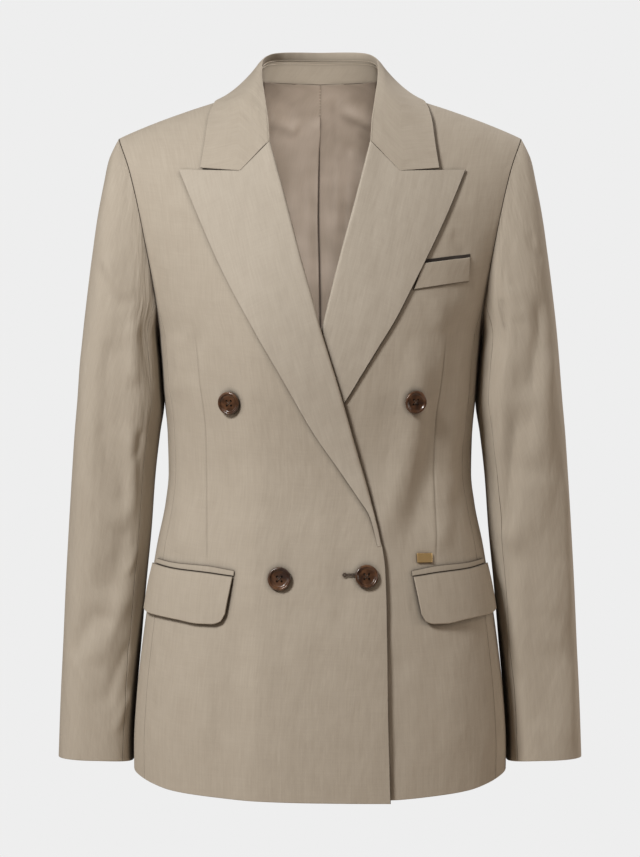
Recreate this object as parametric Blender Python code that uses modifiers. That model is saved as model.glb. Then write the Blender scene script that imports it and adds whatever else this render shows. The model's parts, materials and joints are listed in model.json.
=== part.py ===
"""Double breasted blazer: four buttons, peak lapels, notched collar, welt and flap pockets.

Every cloth piece is a thin wall on one of three worked-out forms:
  the torso form  - upright below the underarm, closing into the sloped shoulder ridge above it
  the sleeve form - level oval sections, one row of SLEEVE for each
  the collar form - stations from the gorge round the neck, one row of COLLAR for each
Millimetres in the tables, metres in the objects. The origin lies between the two neck points;
+X is the wearer's left, -Y the front, +Z up. The wearer's right front closes over the left.
"""

import math

import bmesh
import bpy
import numpy as np
from mathutils import Matrix, Vector

MM = 0.001

# ------------------------------------------------------------------ driving sizes, mm
CLOTH = 1.5  # body and sleeve cloth with its canvas
FACED = 1.8  # two cloths back to back: lapels and flaps
COLLAR_CLOTH = 1.6
LINING_CLOTH = 1.0
JET_CLOTH = 1.0
LINING_GAP = 3.0  # between the back cloth and the lining
LINING_DROP = 2.0  # the lining stops this far under the neck seam
SEAM = 0.2  # each piece stops this short of its seam line
SHOULDER_GAP = 0.4
GORGE_GAP = 0.4

UNDERARM_Z = -240.0
RISE = 200.0  # arc that the torso form takes from the underarm to the shoulder ridge
FRONT_FULLNESS, BACK_FULLNESS = 2.3, 2.5  # powers of the level sections
FRONT_LEAN, BACK_LEAN = 1.9, 2.6  # powers of the chest and back profiles
RIDGE_WIDTH = 250.0  # half width the form would reach at the ridge line
NECK_X, SHOULDER_X = 66.0, 201.0
NECK_BACK_Z = 16.0
NOTCH = (78.0, -84.0)  # where gorge seam, collar end and lapel top meet, x and z
LEAF_CORNER = (117.5, -80.0)  # lower corner of the collar leaf

OVERLAP_LIFT = 5.4  # the right front rides this far out where it crosses the left
UNDER_HEM_LIFT = 5.0  # the hidden corner of the left front is cut this much shorter
LAPEL_SEAT = 2.7  # lapel face over the front it lies on, at the roll line
GORGE_LIFT = 2.6  # the lapel rises this much more toward the gorge, onto the collar's level
SLEEVE_HEAD_GAP = 0.6
SLEEVE_SEAM = 0.55
STAND_GAP = 0.8  # the stand stops this far under the strip that turns down inside the fold
FRONT_SEAM_ANGLE, BACK_SEAM_ANGLE = 70.0, 112.0  # where the side panel meets the armhole
FRONT_SEAM_HEM, BACK_SEAM_HEM = 67.6, 118.0  # and where it meets the hem
EDGE_TRIM = 0.5  # front edges and roll lines stop this far inside their table
NECK_BEND = (57.5, -20.0)  # the front's neck seam between the gorge and the neck point, x and z
BREAK_Z = -450.0  # where the lapels start to turn
CHEST_Z = -215.0  # the front edge's rows change their step here

JET_OUT = 2.0  # face of a jet over the front
FLAP_OUT_TOP, FLAP_OUT_BOTTOM = 3.2, 5.0
FLAP_DROP = 0.5  # gap between a jet and the flap under it
JET_END = 75.3  # angle
POCKET_START = {-1: 26.5, 1: 29.1}  # side: angle of the pocket's inner end
FLAP_SLANT = 1.7  # the flap's inner edge leans by this angle from top to bottom
WELT_OUT = 2.1
BUTTON_RADIUS, BUTTON_THICK, BUTTON_DISH = 11.3, 3.6, 1.7
BUTTON_HOLE, BUTTON_HOLE_OFFSET, BUTTON_HOLE_DEPTH = 1.15, 2.3, 8.0
BUTTON_SHANK = 0.6  # thread between cloth and button
BAR_SIZE, BAR_BEVEL, BAR_OUT = (16.0, 9.0, 1.6), 0.4, 1.2
BAR_PLACE = (101.8, -461.3)  # small plain metal bar above the left pocket, x and z
FOREARM_TURN, HIND_TURN = 138.0, -107.0  # where the arm seams reach the cuff, 0 outward, 90 front
CUFF_TILT = 1.8  # the cuff is this much lower at the front and twice it at the body
SLEEVE_RADIUS = 45.0  # turns of the sleeve become millimetres round it by this

# ------------------------------------------------------------------ ramps: none at first, whole at second
CLIMB = (100.0, 58.0)  # x at which the right front climbs onto the left
OVERLAP_FADE = (-120.0, -210.0)  # z: the fronts lie apart only below the roll line
GORGE_RAMP = (-230.0, -80.0)  # z of GORGE_LIFT
HIDDEN_HEM = (0.4, -0.2)  # angle, radians, of UNDER_HEM_LIFT
HEAD_SHARE = 0.2  # share of the sleeve's length that still follows the armhole's outline
TURN_SHARE = 0.625  # share of its length over which the arm seams swing to their cuff turns
SQUARE_SHARE = 0.125  # share of the half collar that runs straight from fold to edge at its end
STRIP_SHARE = 0.385  # share of the half collar over which the turned strip grows to full depth

# ------------------------------------------------------------------ divisions of the cloth
ARMHOLE_FRONT, ARMHOLE_SIDE, ARMHOLE_BACK = 8, 6, 8
HIND_SEAM_STOP = 5  # armhole stops from the shoulder down to the hind arm seam
LOW_ROWS = 12  # body panels below the armhole
FRONT_COLUMNS, BACK_SHOULDER_COLUMNS = 10, 5
LAPEL_ROWS, LAPEL_COLUMNS = 17, 5
SLEEVE_ROWS = 14
COLLAR_STATIONS = 29
STAND_SKIP = 3  # collar stations at each end that have no stand under them
LINING_ROWS = 7
FLAP_ROWS, JET_ROWS = 3, 1
JET_COLUMNS, WELT_COLUMNS, WELT_ROWS = 7, 4, 2
BUTTON_SEGMENTS, HOLE_SEGMENTS = 28, 10

# ------------------------------------------------------------------ tables, mm and degrees
SECTIONS = [  # z, half_width, front_y, side_y, back_y
    (-240, 162.0, -124, 4, 104),
    (-270, 158.5, -122, 3, 98),
    (-300, 156.0, -118, 2, 91),
    (-340, 152.2, -111, 1, 84),
    (-380, 151.2, -107, 0, 81),
    (-410, 154.3, -108, -1, 84),
    (-450, 162.4, -112, -3, 92),
    (-500, 170.3, -117, -5, 101),
    (-550, 177.2, -121, -7, 107),
    (-600, 182.5, -124, -9, 110),
    (-650, 185.2, -126, -10, 111),
    (-705, 184.6, -127, -10, 111),
]
RIDGE = [  # x, z, y
    (0, 50, 8),
    (40, 28, 8),
    (74, 3.4, 8),
    (100, -7, 7),
    (128, -16.3, 6),
    (160, -27.8, 5),
    (192, -41, 4),
    (201, -45.2, 4),
    (250, -75, 4),
    (270, -90, 4),
]
SPREAD = [  # share_of_rise, half_width
    (0, 162),
    (0.15, 174),
    (0.3, 188),
    (0.5, 208),
    (0.75, 231),
    (1, RIDGE_WIDTH),
]
ARMHOLE = [  # z, x
    (-262, 172),
    (-250, 164.5),
    (-240, 160.8),
    (-225, 160.6),
    (-195, 164.7),
    (-148, 173.4),
    (-107, 182),
    (-75, 190.5),
    (-46.5, 201),
    (-30, 206),
]
LAPEL_PROUD = {  # column: how far the free edge stands off more, and the ramp of z
    1: (1.6, (-330.0, -250.0)),
    2: (4.0, (-308.0, -256.0)),
}
FRONT_EDGE = [  # z, over_x, under_x: reach past the centre, hem to gorge
    (-698, 67.5, 67.5),
    (-617, 65.6, 65.6),
    (-540, 64.6, 64.6),
    (-472, 62.6, 62.6),
    (-453, 60.2, 60.2),
    (-405, 49.2, 47.5),
    (-356, 35.2, 33.5),
    (-298, 18.6, 16.5),
    (-240, 0.8, -1.5),
    (-212, -6.8, -8.2),
    (-163, -20.4, -20.6),
    (-114, -32.8, -33.8),
    (-54, -49.0, -49.0),
]
LAPEL_EDGE = [  # z, over_x, under_x: outer edge, break to peak
    (-453, 56.4, 56.4),
    (-421, 48.4, 46.0),
    (-403, 37.0, 36.0),
    (-373, 16.3, 19.0),
    (-343, -4.8, 1.0),
    (-307, -26.0, -26.5),
    (-285, -38.6, -40.0),
    (-255, -56.3, -58.5),
    (-230, -70.3, -73.8),
    (-200, -86.6, -89.2),
    (-171, -100.9, -103.6),
    (-128, -119.6, -124.0),
    (-81, -139.2, -143.6),
]
HEM = [  # angle, z: negative angles are past the centre
    (-20, -698),
    (0, -697),
    (18, -695.3),
    (33, -692.4),
    (50, -688.2),
    (61, -683.2),
    (75, -677),
    (90, -673),
    (120, -671.5),
    (150, -675),
    (180, -677),
]
BACK_NECK = [  # x, z from the neck point to the centre back
    (61, 6.5),
    (40, 11),
    (20, 15),
    (0, NECK_BACK_Z),
]
SLEEVE = [  # z, outer_x, inner_x, mid_y, half_depth
    (-46, 203, 188, 4, 6),
    (-54, 207.5, 176, 4, 20),
    (-67, 213, 160, 4, 33),
    (-90, 217.6, 153, 4, 45),
    (-123, 223.3, 152, 4, 54),
    (-165, 228.7, 151, 4, 59),
    (-207, 233.3, 153, 5, 60),
    (-243, 236.9, 161.5, 6, 60),
    (-270, 239.3, 159.6, 7, 60),
    (-307, 242.2, 157.0, 8, 59),
    (-340, 245.2, 160.6, 9, 57),
    (-380, 248, 165, 10, 54),
    (-437, 251.6, 169.2, 12, 51),
    (-490, 254.6, 174.4, 14, 49),
    (-547, 257.1, 179.2, 14, 47),
    (-607, 259.8, 184.2, 12, 46),
    (-663, 261.6, 186.6, 10, 45),
]
GORGE = [(49.0, -54.0), NOTCH, LEAF_CORNER]  # x, z of the collar's end: fold, middle and edge
COLLAR = [  # fold x y z, middle x y z, edge x y z of each station behind the gorge, to the back
    (52.0, -67.0, -31.5, 81.4, -78.0, -63.1, 113.4, -59.2, -51.2),
    (55.5, -45.5, -8.0, 79.4, -62.0, -39.0, 110.9, -40.0, -28.4),
    (58.3, -19.0, 14.5, 79.2, -36.0, -10.0, 106.4, -15.0, -12.0),
    (59.6, 8.0, 33.0, 77.0, 8.0, 10.5, 102.2, 6.0, -5.6),
    (53.2, 34.0, 42.3, 69.8, 37.0, 21.5, 90.0, 30.5, -0.5),
    (41.2, 51.0, 46.0, 51.5, 57.0, 26.0, 66.0, 52.0, 5.0),
    (22.0, 61.0, 47.2, 27.5, 69.0, 27.5, 34.5, 70.5, 5.6),
    (0.0, 64.5, 47.1, 0.0, 73.0, 27.8, 0.0, 79.0, 5.0),
]
STAND_SEAM = [  # x, y, z of the neck seam under the last collar stations
    (61.5, -10.0, 5.0),
    (62.5, 10.0, 10.8),
    (57.0, 32.0, 9.8),
    (41.5, 50.0, 13.0),
    (21.5, 61.5, 16.2),
    (0.0, 65.0, 17.2),
]
FOLD = [  # down, back: the turned-over strip inside the fold, from its seam to the top, mm
    (8.5, 4.4),
    (3.0, 4.3),
    (-0.6, 2.2),
]
GORGE_TURN = 0.35  # share of the turned-over strip left at the gorge
LEAF_SHARES = (0.14, 0.32, 0.5, 0.75, 1.0)  # rows of the leaf from the fold to its edge
WELT = [  # corner x z: top inner, top outer, bottom outer, bottom inner
    (100.0, -175.0),
    (147.3, -167.9),
    (146.5, -191.5),
    (91.0, -200.8),
]
JET = [  # angle, top_z, bottom_z from the inner end round to the side
    (26.5, -473.8, -479.0),
    (38.5, -469.4, -475.5),
    (55.5, -467.4, -472.6),
    (75.3, -464.0, -468.6),
    (82.0, -463.5, -468.0),
]
FLAP = [  # angle, bottom_z from the inner edge round to the side
    (26.8, -516.0),
    (28.6, -523.6),
    (32.0, -526.0),
    (38.0, -525.8),
    (48.1, -522.7),
    (61.2, -519.7),
    (72.3, -517.6),
    (80.0, -514.5),
]
BUTTONS = [  # name, x, z, front that carries it
    ("button_upper_right", -87.9, -310.8, "over"),
    ("button_upper_left", 92.3, -309.8, "under"),
    ("button_lower_right", -39.2, -481.1, "over"),
    ("button_lower_left", 45.0, -478.8, "over"),
]
BUTTON_PROFILE = [  # radius, height, from the middle of the dish over the rim to the back
    (0.0, BUTTON_DISH),
    (8.3, BUTTON_DISH),
    (9.0, BUTTON_THICK - 0.5),
    (9.9, BUTTON_THICK),
    (10.8, BUTTON_THICK - 0.4),
    (BUTTON_RADIUS, BUTTON_THICK - 1.4),
    (10.6, 0.8),
    (8.6, 0.0),
    (0.0, 0.0),
]
LINING_EDGE = [  # z, half_width of the lining that shows inside the back
    (-330, 62),
    (-250, 84),
    (-150, 98),
    (-60, 92),
    (-10, 74),
    (8, 58),
]
LINING_COLUMNS = [  # share of the half width, fold of the centre pleat inward
    (-1, 0.0),
    (-0.75, 0.0),
    (-0.5, 0.0),
    (-0.25, 0.0),
    (-0.08, 1.0),
    (-0.01, 2.0),
    (0.03, 0.0),
    (0.25, 0.0),
    (0.5, 0.0),
    (0.75, 0.0),
    (1, 0.0),
]

BODY_FOLDS = [  # side, face, then x z at start, bend and end, half width, depth (minus is a trough)
    (1, "front", 98, -372, 92, -420, 76, -462, 12, -2.4),
    (1, "front", 80, -380, 74, -418, 69, -448, 9, 1.6),
    (1, "front", 143, -372, 134, -425, 122, -458, 9, 1.6),
    (-1, "front", 136, -240, 128, -262, 116, -280, 13, 1.4),
    (1, "back", 52, -292, 76, -345, 104, -392, 15, -2.0),
    (-1, "back", 48, -305, 70, -362, 101, -420, 14, -2.2),
    (1, "back", 118, -150, 108, -200, 104, -262, 15, 1.8),
    (-1, "back", 121, -140, 112, -205, 106, -250, 14, 1.6),
]
SLEEVE_FOLDS = [  # side, then turn z at start, bend and end, half width, depth
    (1, 49, -248, 85, -310, 114, -430, 11, -2.8),
    (1, 66, -350, 101, -428, 122, -452, 10, -2.2),
    (1, 64, -300, 92, -368, 98, -440, 10, 2.0),
    (-1, 75, -348, 92, -398, 101, -446, 10, -2.6),
    (-1, 92, -236, 98, -280, 106, -335, 15, 2.0),
    (-1, 106, -378, 109, -420, 111, -475, 9, 1.8),
    (-1, 66, -492, 54, -540, 44, -590, 17, -2.2),
    (1, -60, -270, -92, -330, -118, -405, 14, -2.4),
    (-1, -52, -290, -84, -352, -112, -420, 14, -2.6),
    (1, -70, -400, -95, -450, -120, -480, 12, 2.0),
    (-1, -64, -410, -90, -462, -116, -498, 12, 1.8),
]

COLORS = {  # name: red, green, blue, metallic, roughness
    "wool": (0.445, 0.392, 0.319, 0.0, 0.9),
    "wool_collar": (0.470, 0.418, 0.342, 0.0, 0.9),
    "satin": (0.380, 0.290, 0.235, 0.0, 0.45),
    "horn": (0.085, 0.044, 0.024, 0.0, 0.3),
    "brass": (0.760, 0.560, 0.270, 1.0, 0.3),
}


# ------------------------------------------------------------------ curves and forms
def smooth_curve(rows, column):
    """Smooth curve without overshoot through column `column` over the first column."""
    table = sorted((row[0], row[column]) for row in rows)
    xs = [row[0] for row in table]
    ys = [row[1] for row in table]
    slopes = [(b - a) / (v - u) for a, b, u, v in zip(ys, ys[1:], xs, xs[1:])]
    ends = [slopes[0]] + [0.0] * (len(xs) - 2) + [slopes[-1]]
    for i in range(1, len(xs) - 1):
        before, after = slopes[i - 1], slopes[i]
        if before * after > 0:
            near, far = xs[i] - xs[i - 1], xs[i + 1] - xs[i]
            ends[i] = 3 * (near + far) / ((2 * far + near) / before + (far + 2 * near) / after)

    def value(x):
        x = min(max(x, xs[0]), xs[-1])
        i = min(max(sum(u < x for u in xs) - 1, 0), len(xs) - 2)
        step = xs[i + 1] - xs[i]
        t = (x - xs[i]) / step
        return (
            (2 * t**3 - 3 * t**2 + 1) * ys[i]
            + (t**3 - 2 * t**2 + t) * step * ends[i]
            + (3 * t**2 - 2 * t**3) * ys[i + 1]
            + (t**3 - t**2) * step * ends[i + 1]
        )

    return value


half_width = smooth_curve(SECTIONS, 1)
front_y = smooth_curve(SECTIONS, 2)
side_y = smooth_curve(SECTIONS, 3)
back_y = smooth_curve(SECTIONS, 4)
ridge_z = smooth_curve(RIDGE, 1)
ridge_y = smooth_curve(RIDGE, 2)
spread = smooth_curve(SPREAD, 1)
armhole_x = smooth_curve(ARMHOLE, 1)
hem_z = smooth_curve(HEM, 1)
lining_half_width = smooth_curve(LINING_EDGE, 1)


def ease(value):
    """0 to 1 with level ends."""
    value = min(max(value, 0.0), 1.0)
    return value * value * (3 - 2 * value)


def ramp(value, start, whole):
    """0 at `start` and 1 at `whole`, eased between; `whole` may be the smaller."""
    return ease((value - start) / (whole - start))


def fold_height(rows, u, z):
    """Height of all folds at u, z: each row is u z at start, bend and end, half width, depth."""
    height = 0.0
    for u_1, z_1, u_2, z_2, u_3, z_3, width, depth in rows:
        nearest, reached, done = 1e9, 0.0, 0.0
        legs = [((u_1, z_1), (u_2, z_2)), ((u_2, z_2), (u_3, z_3))]
        whole = sum(math.dist(a, b) for a, b in legs)
        for a, b in legs:
            length = math.dist(a, b)
            t = ((u - a[0]) * (b[0] - a[0]) + (z - a[1]) * (b[1] - a[1])) / length**2
            t = min(max(t, 0.0), 1.0)
            away = math.dist((u, z), (a[0] + (b[0] - a[0]) * t, a[1] + (b[1] - a[1]) * t))
            if away < nearest:
                nearest, reached = away, (done + t * length) / whole
            done += length
        fade = ease(reached * 4 + 0.15) * ease((1 - reached) * 4 + 0.15)
        height += depth * fade * math.exp(-((nearest / width) ** 2))
    return height


def body_fold(side, angle, rise):
    """Height of the body's drag folds at a place of the torso form."""
    point = torso(angle, rise)
    face = "front" if math.cos(angle) >= 0 else "back"
    rows = [row[2:] for row in BODY_FOLDS if row[0] == side and row[1] == face]
    return fold_height(rows, abs(point[0]), point[2])


def sleeve_fold(side, turn, z):
    """Height of the sleeve's folds at a turn in degrees and a height."""
    rows = [row[1:] for row in SLEEVE_FOLDS if row[0] == side]
    reach = math.radians(SLEEVE_RADIUS)
    rows = [tuple(v * reach if i in (0, 2, 4) else v for i, v in enumerate(row)) for row in rows]
    turn = (turn + 180) % 360 - 180
    return fold_height(rows, turn * reach, z)


def torso(angle, rise):
    """Point of the torso form: angle 0 centre front, 90 degrees +X side, 180 centre back."""
    facing = math.cos(angle) >= 0
    power = FRONT_FULLNESS if facing else BACK_FULLNESS
    across = math.copysign(abs(math.sin(angle)) ** (2 / power), math.sin(angle))
    along = abs(math.cos(angle)) ** (2 / power)
    z = UNDERARM_Z + min(rise, 0)
    edge = front_y(z) if facing else back_y(z)
    y = side_y(z) + (edge - side_y(z)) * along
    if rise <= 0:
        return np.array([half_width(z) * across, y, z])
    share = min(rise / RISE, 1)
    ridge_x = RIDGE_WIDTH * abs(across)
    climb = math.sin(share * math.pi / 2)
    lean_power = FRONT_LEAN if facing else BACK_LEAN
    lean = max(0.0, 1 - climb**lean_power) ** (1 / lean_power)
    return np.array(
        [
            spread(share) * across,
            ridge_y(ridge_x) + (y - ridge_y(ridge_x)) * lean,
            UNDERARM_Z + (ridge_z(ridge_x) - UNDERARM_Z) * climb,
        ]
    )


def torso_normal(angle, rise):
    """Outward unit normal of the torso form."""
    turn, step = 1e-3, 1.0
    top = min(rise + step / 2, RISE)
    around = torso(angle + turn, rise) - torso(angle - turn, rise)
    upward = torso(angle, top) - torso(angle, top - step)
    normal = np.cross(around, upward)
    return normal / np.linalg.norm(normal)


def place(x, z, back=False):
    """Angle and rise of the torso form at x, z of its front or back."""
    power = BACK_FULLNESS if back else FRONT_FULLNESS
    if z <= UNDERARM_Z:
        rise = z - UNDERARM_Z
        across = min(abs(x) / half_width(z), 1)
    else:
        across, share = min(abs(x) / spread(0.5), 1), 0.5
        for _ in range(40):
            top = ridge_z(RIDGE_WIDTH * across)
            share = math.asin(min((z - UNDERARM_Z) / (top - UNDERARM_Z), 1)) * 2 / math.pi
            across = min(abs(x) / spread(share), 1)
        rise = share * RISE
    angle = math.asin(across ** (power / 2))
    angle = math.pi - angle if back else angle
    return math.copysign(angle, x), rise


def over(x, z, out):
    """Point `out` off the front of the torso form that shows at x, z, and its normal."""
    seat_x, seat_z = x, z
    for _ in range(4):
        angle, rise = place(seat_x, seat_z)
        normal = torso_normal(angle, rise)
        point = torso(angle, rise) + out * normal
        seat_x, seat_z = seat_x + x - point[0], seat_z + z - point[2]
    return point, normal


def armhole_rise(angle):
    """Rise at which the column at `angle` reaches the armhole."""
    low, high = -25.0, RISE
    for _ in range(40):
        middle = (low + high) / 2
        point = torso(angle, middle)
        if point[0] > armhole_x(point[2]):
            high = middle
        else:
            low = middle
    return low


def even_steps(points, count):
    """`count` + 1 parameters along a fine polyline, spaced evenly by its 3-D length."""
    place_3d = [torso(a, r) for a, r in points]
    lengths = [0.0]
    for a, b in zip(place_3d, place_3d[1:]):
        lengths.append(lengths[-1] + float(np.linalg.norm(b - a)))
    wanted = np.linspace(0, lengths[-1], count + 1)
    angles = np.interp(wanted, lengths, [p[0] for p in points])
    rises = np.interp(wanted, lengths, [p[1] for p in points])
    return list(zip(angles, rises))


def armhole_stops(start, end, count):
    """Stops of the armhole between two angles in degrees, evenly spaced."""
    fine = [math.radians(a) for a in np.linspace(start, end, 60)]
    return even_steps([(a, armhole_rise(a)) for a in fine], count)


def shoulder_angle(x, back):
    """Angle of the column that ends at x on the shoulder ridge."""
    power = BACK_FULLNESS if back else FRONT_FULLNESS
    angle = math.asin((x / RIDGE_WIDTH) ** (power / 2))
    return math.pi - angle if back else angle


SHOULDER_FRONT = math.degrees(shoulder_angle(SHOULDER_X, False))
SHOULDER_BACK = math.degrees(shoulder_angle(SHOULDER_X, True))
ARM_FRONT = armhole_stops(FRONT_SEAM_ANGLE, SHOULDER_FRONT, ARMHOLE_FRONT)
ARM_SIDE = armhole_stops(FRONT_SEAM_ANGLE, BACK_SEAM_ANGLE, ARMHOLE_SIDE)
ARM_BACK = armhole_stops(BACK_SEAM_ANGLE, SHOULDER_BACK, ARMHOLE_BACK)
ARM_FRONT[-1] = (math.radians(SHOULDER_FRONT), RISE)
ARM_BACK[-1] = (math.radians(SHOULDER_BACK), RISE)


# ------------------------------------------------------------------ grids
def coons(bottom, top, left, right):
    """Angle and rise at every node of a four-sided patch given by its sides."""
    rows, columns = len(left), len(bottom)
    grid = np.zeros((rows, columns, 2))
    bottom, top, left, right = (np.array(side) for side in (bottom, top, left, right))
    for r in range(rows):
        v = r / (rows - 1)
        for c in range(columns):
            u = c / (columns - 1)
            grid[r, c] = (1 - v) * bottom[c] + v * top[c] + (1 - u) * left[r] + u * right[r]
            grid[r, c] -= (1 - v) * ((1 - u) * bottom[0] + u * bottom[-1])
            grid[r, c] -= v * ((1 - u) * top[0] + u * top[-1])
    return grid


def between(first, last, count):
    """`count` + 1 straight steps from one angle and rise to another."""
    return [tuple(np.array(first) + (np.array(last) - first) * i / count) for i in range(count + 1)]


def flip(points, side):
    """Mirror a grid of points to the wearer's right when side is -1."""
    return points * np.array([side, 1, 1])


def lay(grid, side, out):
    """Points and normals on the torso form; out(angle, rise) is the distance off it."""
    rows, columns = grid.shape[:2]
    points, normals = np.zeros((rows, columns, 3)), np.zeros((rows, columns, 3))
    for r in range(rows):
        for c in range(columns):
            angle, rise = grid[r, c]
            normals[r, c] = torso_normal(angle, rise)
            points[r, c] = torso(angle, rise) + out(angle, rise) * normals[r, c]
    return flip(points, side), flip(normals, side)


def grid_normals(points, ring=False):
    """Normals of any grid of points, from the directions of its rows and columns."""
    if ring:
        across = np.roll(points, -1, axis=1) - np.roll(points, 1, axis=1)
    else:
        across = np.gradient(points, axis=1)
    normals = np.cross(across, np.gradient(points, axis=0))
    return normals / np.linalg.norm(normals, axis=2, keepdims=True)


def inset(points, sides, gap=SEAM):
    """Move the named border rows and columns toward the inside of the grid by `gap`."""
    ends = {"bottom": (0, 1), "top": (-1, -2)}
    for name in sides:
        if name in ends:
            edge, inner = points[ends[name][0]], points[ends[name][1]]
        else:
            edge, inner = (points[:, 0], points[:, 1]) if name == "left" else (points[:, -1], points[:, -2])
        way = inner - edge
        edge += way / np.linalg.norm(way, axis=1, keepdims=True) * gap
    return points


# ------------------------------------------------------------------ solids
def material(name):
    red, green, blue, metallic, roughness = COLORS[name]
    made = bpy.data.materials.get(name)
    if made is None:
        made = bpy.data.materials.new(name)
        made.use_nodes = True
        shader = made.node_tree.nodes["Principled BSDF"]
        shader.inputs["Base Color"].default_value = (red, green, blue, 1)
        shader.inputs["Metallic"].default_value = metallic
        shader.inputs["Roughness"].default_value = roughness
        made.diffuse_color = (red, green, blue, 1)
    return made


def add_object(name, mesh, color, home):
    mesh.materials.append(material(color))
    thing = bpy.data.objects.new(name, mesh)
    home.objects.link(thing)
    return thing


def cloth(name, points, normals, thick, color, home):
    """A closed sheet: `points` is its outer face, the inner face lies `thick` below.

    The inner face follows the given normals, which neighbours share, so seams never cross.
    """
    rows, columns = points.shape[:2]
    form = bmesh.new()
    faces = [points, points - normals * thick]
    outer, inner = (
        [[form.verts.new(Vector(p) * MM) for p in row] for row in face] for face in faces
    )
    for r in range(rows - 1):
        for c in range(columns - 1):
            form.faces.new((outer[r][c], outer[r][c + 1], outer[r + 1][c + 1], outer[r + 1][c]))
            form.faces.new((inner[r][c], inner[r + 1][c], inner[r + 1][c + 1], inner[r][c + 1]))
    for r in range(rows - 1):
        for c in (0, columns - 1):
            form.faces.new((outer[r][c], outer[r + 1][c], inner[r + 1][c], inner[r][c]))
    for c in range(columns - 1):
        for r in (0, rows - 1):
            form.faces.new((outer[r][c], outer[r][c + 1], inner[r][c + 1], inner[r][c]))
    bmesh.ops.recalc_face_normals(form, faces=form.faces)
    if form.calc_volume(signed=True) < 0:
        bmesh.ops.reverse_faces(form, faces=form.faces)
    mesh = bpy.data.meshes.new(name)
    form.to_mesh(mesh)
    form.free()
    return add_object(name, mesh, color, home)


# ------------------------------------------------------------------ body
def front_layer(column, angle, rise):
    """How far a front lies off the form: the right front climbs over the left."""
    if column != 1:
        return 0.0
    point = torso(angle, rise)
    return OVERLAP_LIFT * ramp(point[0], *CLIMB) * ramp(point[2], *OVERLAP_FADE)


def edge_path(column, heights):
    """The front edge and roll line as angle and rise, at each height given."""
    reach = smooth_curve(FRONT_EDGE, column)
    return [place(-reach(z), z) for z in heights]


def hem_place(angle):
    """Angle and rise of the hem at an angle."""
    return angle, hem_z(math.degrees(angle)) - UNDERARM_Z


def front_panel(name, side, column, home):
    """Front from the side seam to the front edge; its top is the shoulder seam."""
    hem_side = math.radians(FRONT_SEAM_HEM)
    left = between(hem_place(hem_side), ARM_FRONT[0], LOW_ROWS)[:-1] + ARM_FRONT
    hem_lift = UNDER_HEM_LIFT if column == 2 else 0.0
    low_heights = np.linspace(FRONT_EDGE[0][0] + hem_lift, CHEST_Z, LOW_ROWS + 1)
    high_heights = np.linspace(CHEST_Z, FRONT_EDGE[-1][0], ARMHOLE_FRONT - 1)
    right = edge_path(column, [*low_heights, *high_heights[1:]])
    right += [place(*NECK_BEND), (shoulder_angle(NECK_X, False), RISE)]
    hem_angles = np.linspace(hem_side, right[0][0], FRONT_COLUMNS + 1)
    bottom = [hem_place(a) for a in hem_angles]
    bottom = [(a, r + hem_lift * ramp(a, *HIDDEN_HEM)) for a, r in bottom]
    bottom[-1] = right[0]
    shoulder = np.linspace(SHOULDER_X, NECK_X, FRONT_COLUMNS + 1)
    top = [(shoulder_angle(x, False), RISE) for x in shoulder]
    grid = coons(bottom, top, left, right)
    points, normals = lay(
        grid, side, lambda a, r: front_layer(column, a, r) + body_fold(side, a, r)
    )
    inset(points, ("left",))
    inset(points, ("top",), SHOULDER_GAP)
    inset(points, ("right",), EDGE_TRIM)
    return cloth(name, points, normals, CLOTH, "wool", home)


def side_panel(name, side, home):
    """Side body between the front and the back, its top cut to the armhole."""
    hem_front, hem_back = math.radians(FRONT_SEAM_HEM), math.radians(BACK_SEAM_HEM)
    left = between(hem_place(hem_front), ARM_SIDE[0], LOW_ROWS)
    right = between(hem_place(hem_back), ARM_SIDE[-1], LOW_ROWS)
    bottom = [hem_place(a) for a in np.linspace(hem_front, hem_back, ARMHOLE_SIDE + 1)]
    points, normals = lay(coons(bottom, ARM_SIDE, left, right), side, lambda a, r: 0.0)
    inset(points, ("left", "right", "top"))
    return cloth(name, points, normals, CLOTH, "wool", home)


def back_panel(name, side, home):
    """Half back from the side seam to the centre back seam."""
    hem_side = math.radians(BACK_SEAM_HEM)
    left = between(hem_place(hem_side), ARM_BACK[0], LOW_ROWS)[:-1] + ARM_BACK
    centre_top = place(0, NECK_BACK_Z, back=True)
    right = between(hem_place(math.pi), centre_top, len(left) - 1)
    shoulder = np.linspace(SHOULDER_X, NECK_X, BACK_SHOULDER_COLUMNS + 1)
    top = [(shoulder_angle(x, True), RISE) for x in shoulder]
    top += [place(x, z, back=True) for x, z in BACK_NECK]
    bottom = [hem_place(a) for a in np.linspace(hem_side, math.pi, len(top))]
    grid = coons(bottom, top, left, right)
    points, normals = lay(grid, side, lambda a, r: body_fold(side, a, r))
    inset(points, ("left", "right"))
    inset(points, ("top",), SHOULDER_GAP)
    return cloth(name, points, normals, CLOTH, "wool", home)


def back_lining(name, home):
    """The lining that shows through the neck, with its centre pleat folded to one side."""
    neck = smooth_curve(BACK_NECK, 1)
    low_z, top_half = LINING_EDGE[0][0], LINING_EDGE[-1][1]
    shape = (LINING_ROWS + 1, len(LINING_COLUMNS), 3)
    points, normals = np.zeros(shape), np.zeros(shape)
    for c, (share, inward) in enumerate(LINING_COLUMNS):
        top_z = neck(abs(share) * top_half) - LINING_DROP
        for r in range(LINING_ROWS + 1):
            z = low_z + (top_z - low_z) * r / LINING_ROWS
            angle, rise = place(share * lining_half_width(z), z, back=True)
            normals[r, c] = torso_normal(angle, rise)
            points[r, c] = torso(angle, rise) - (CLOTH + LINING_GAP + inward) * normals[r, c]
    return cloth(name, points, normals, LINING_CLOTH, "satin", home)


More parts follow.
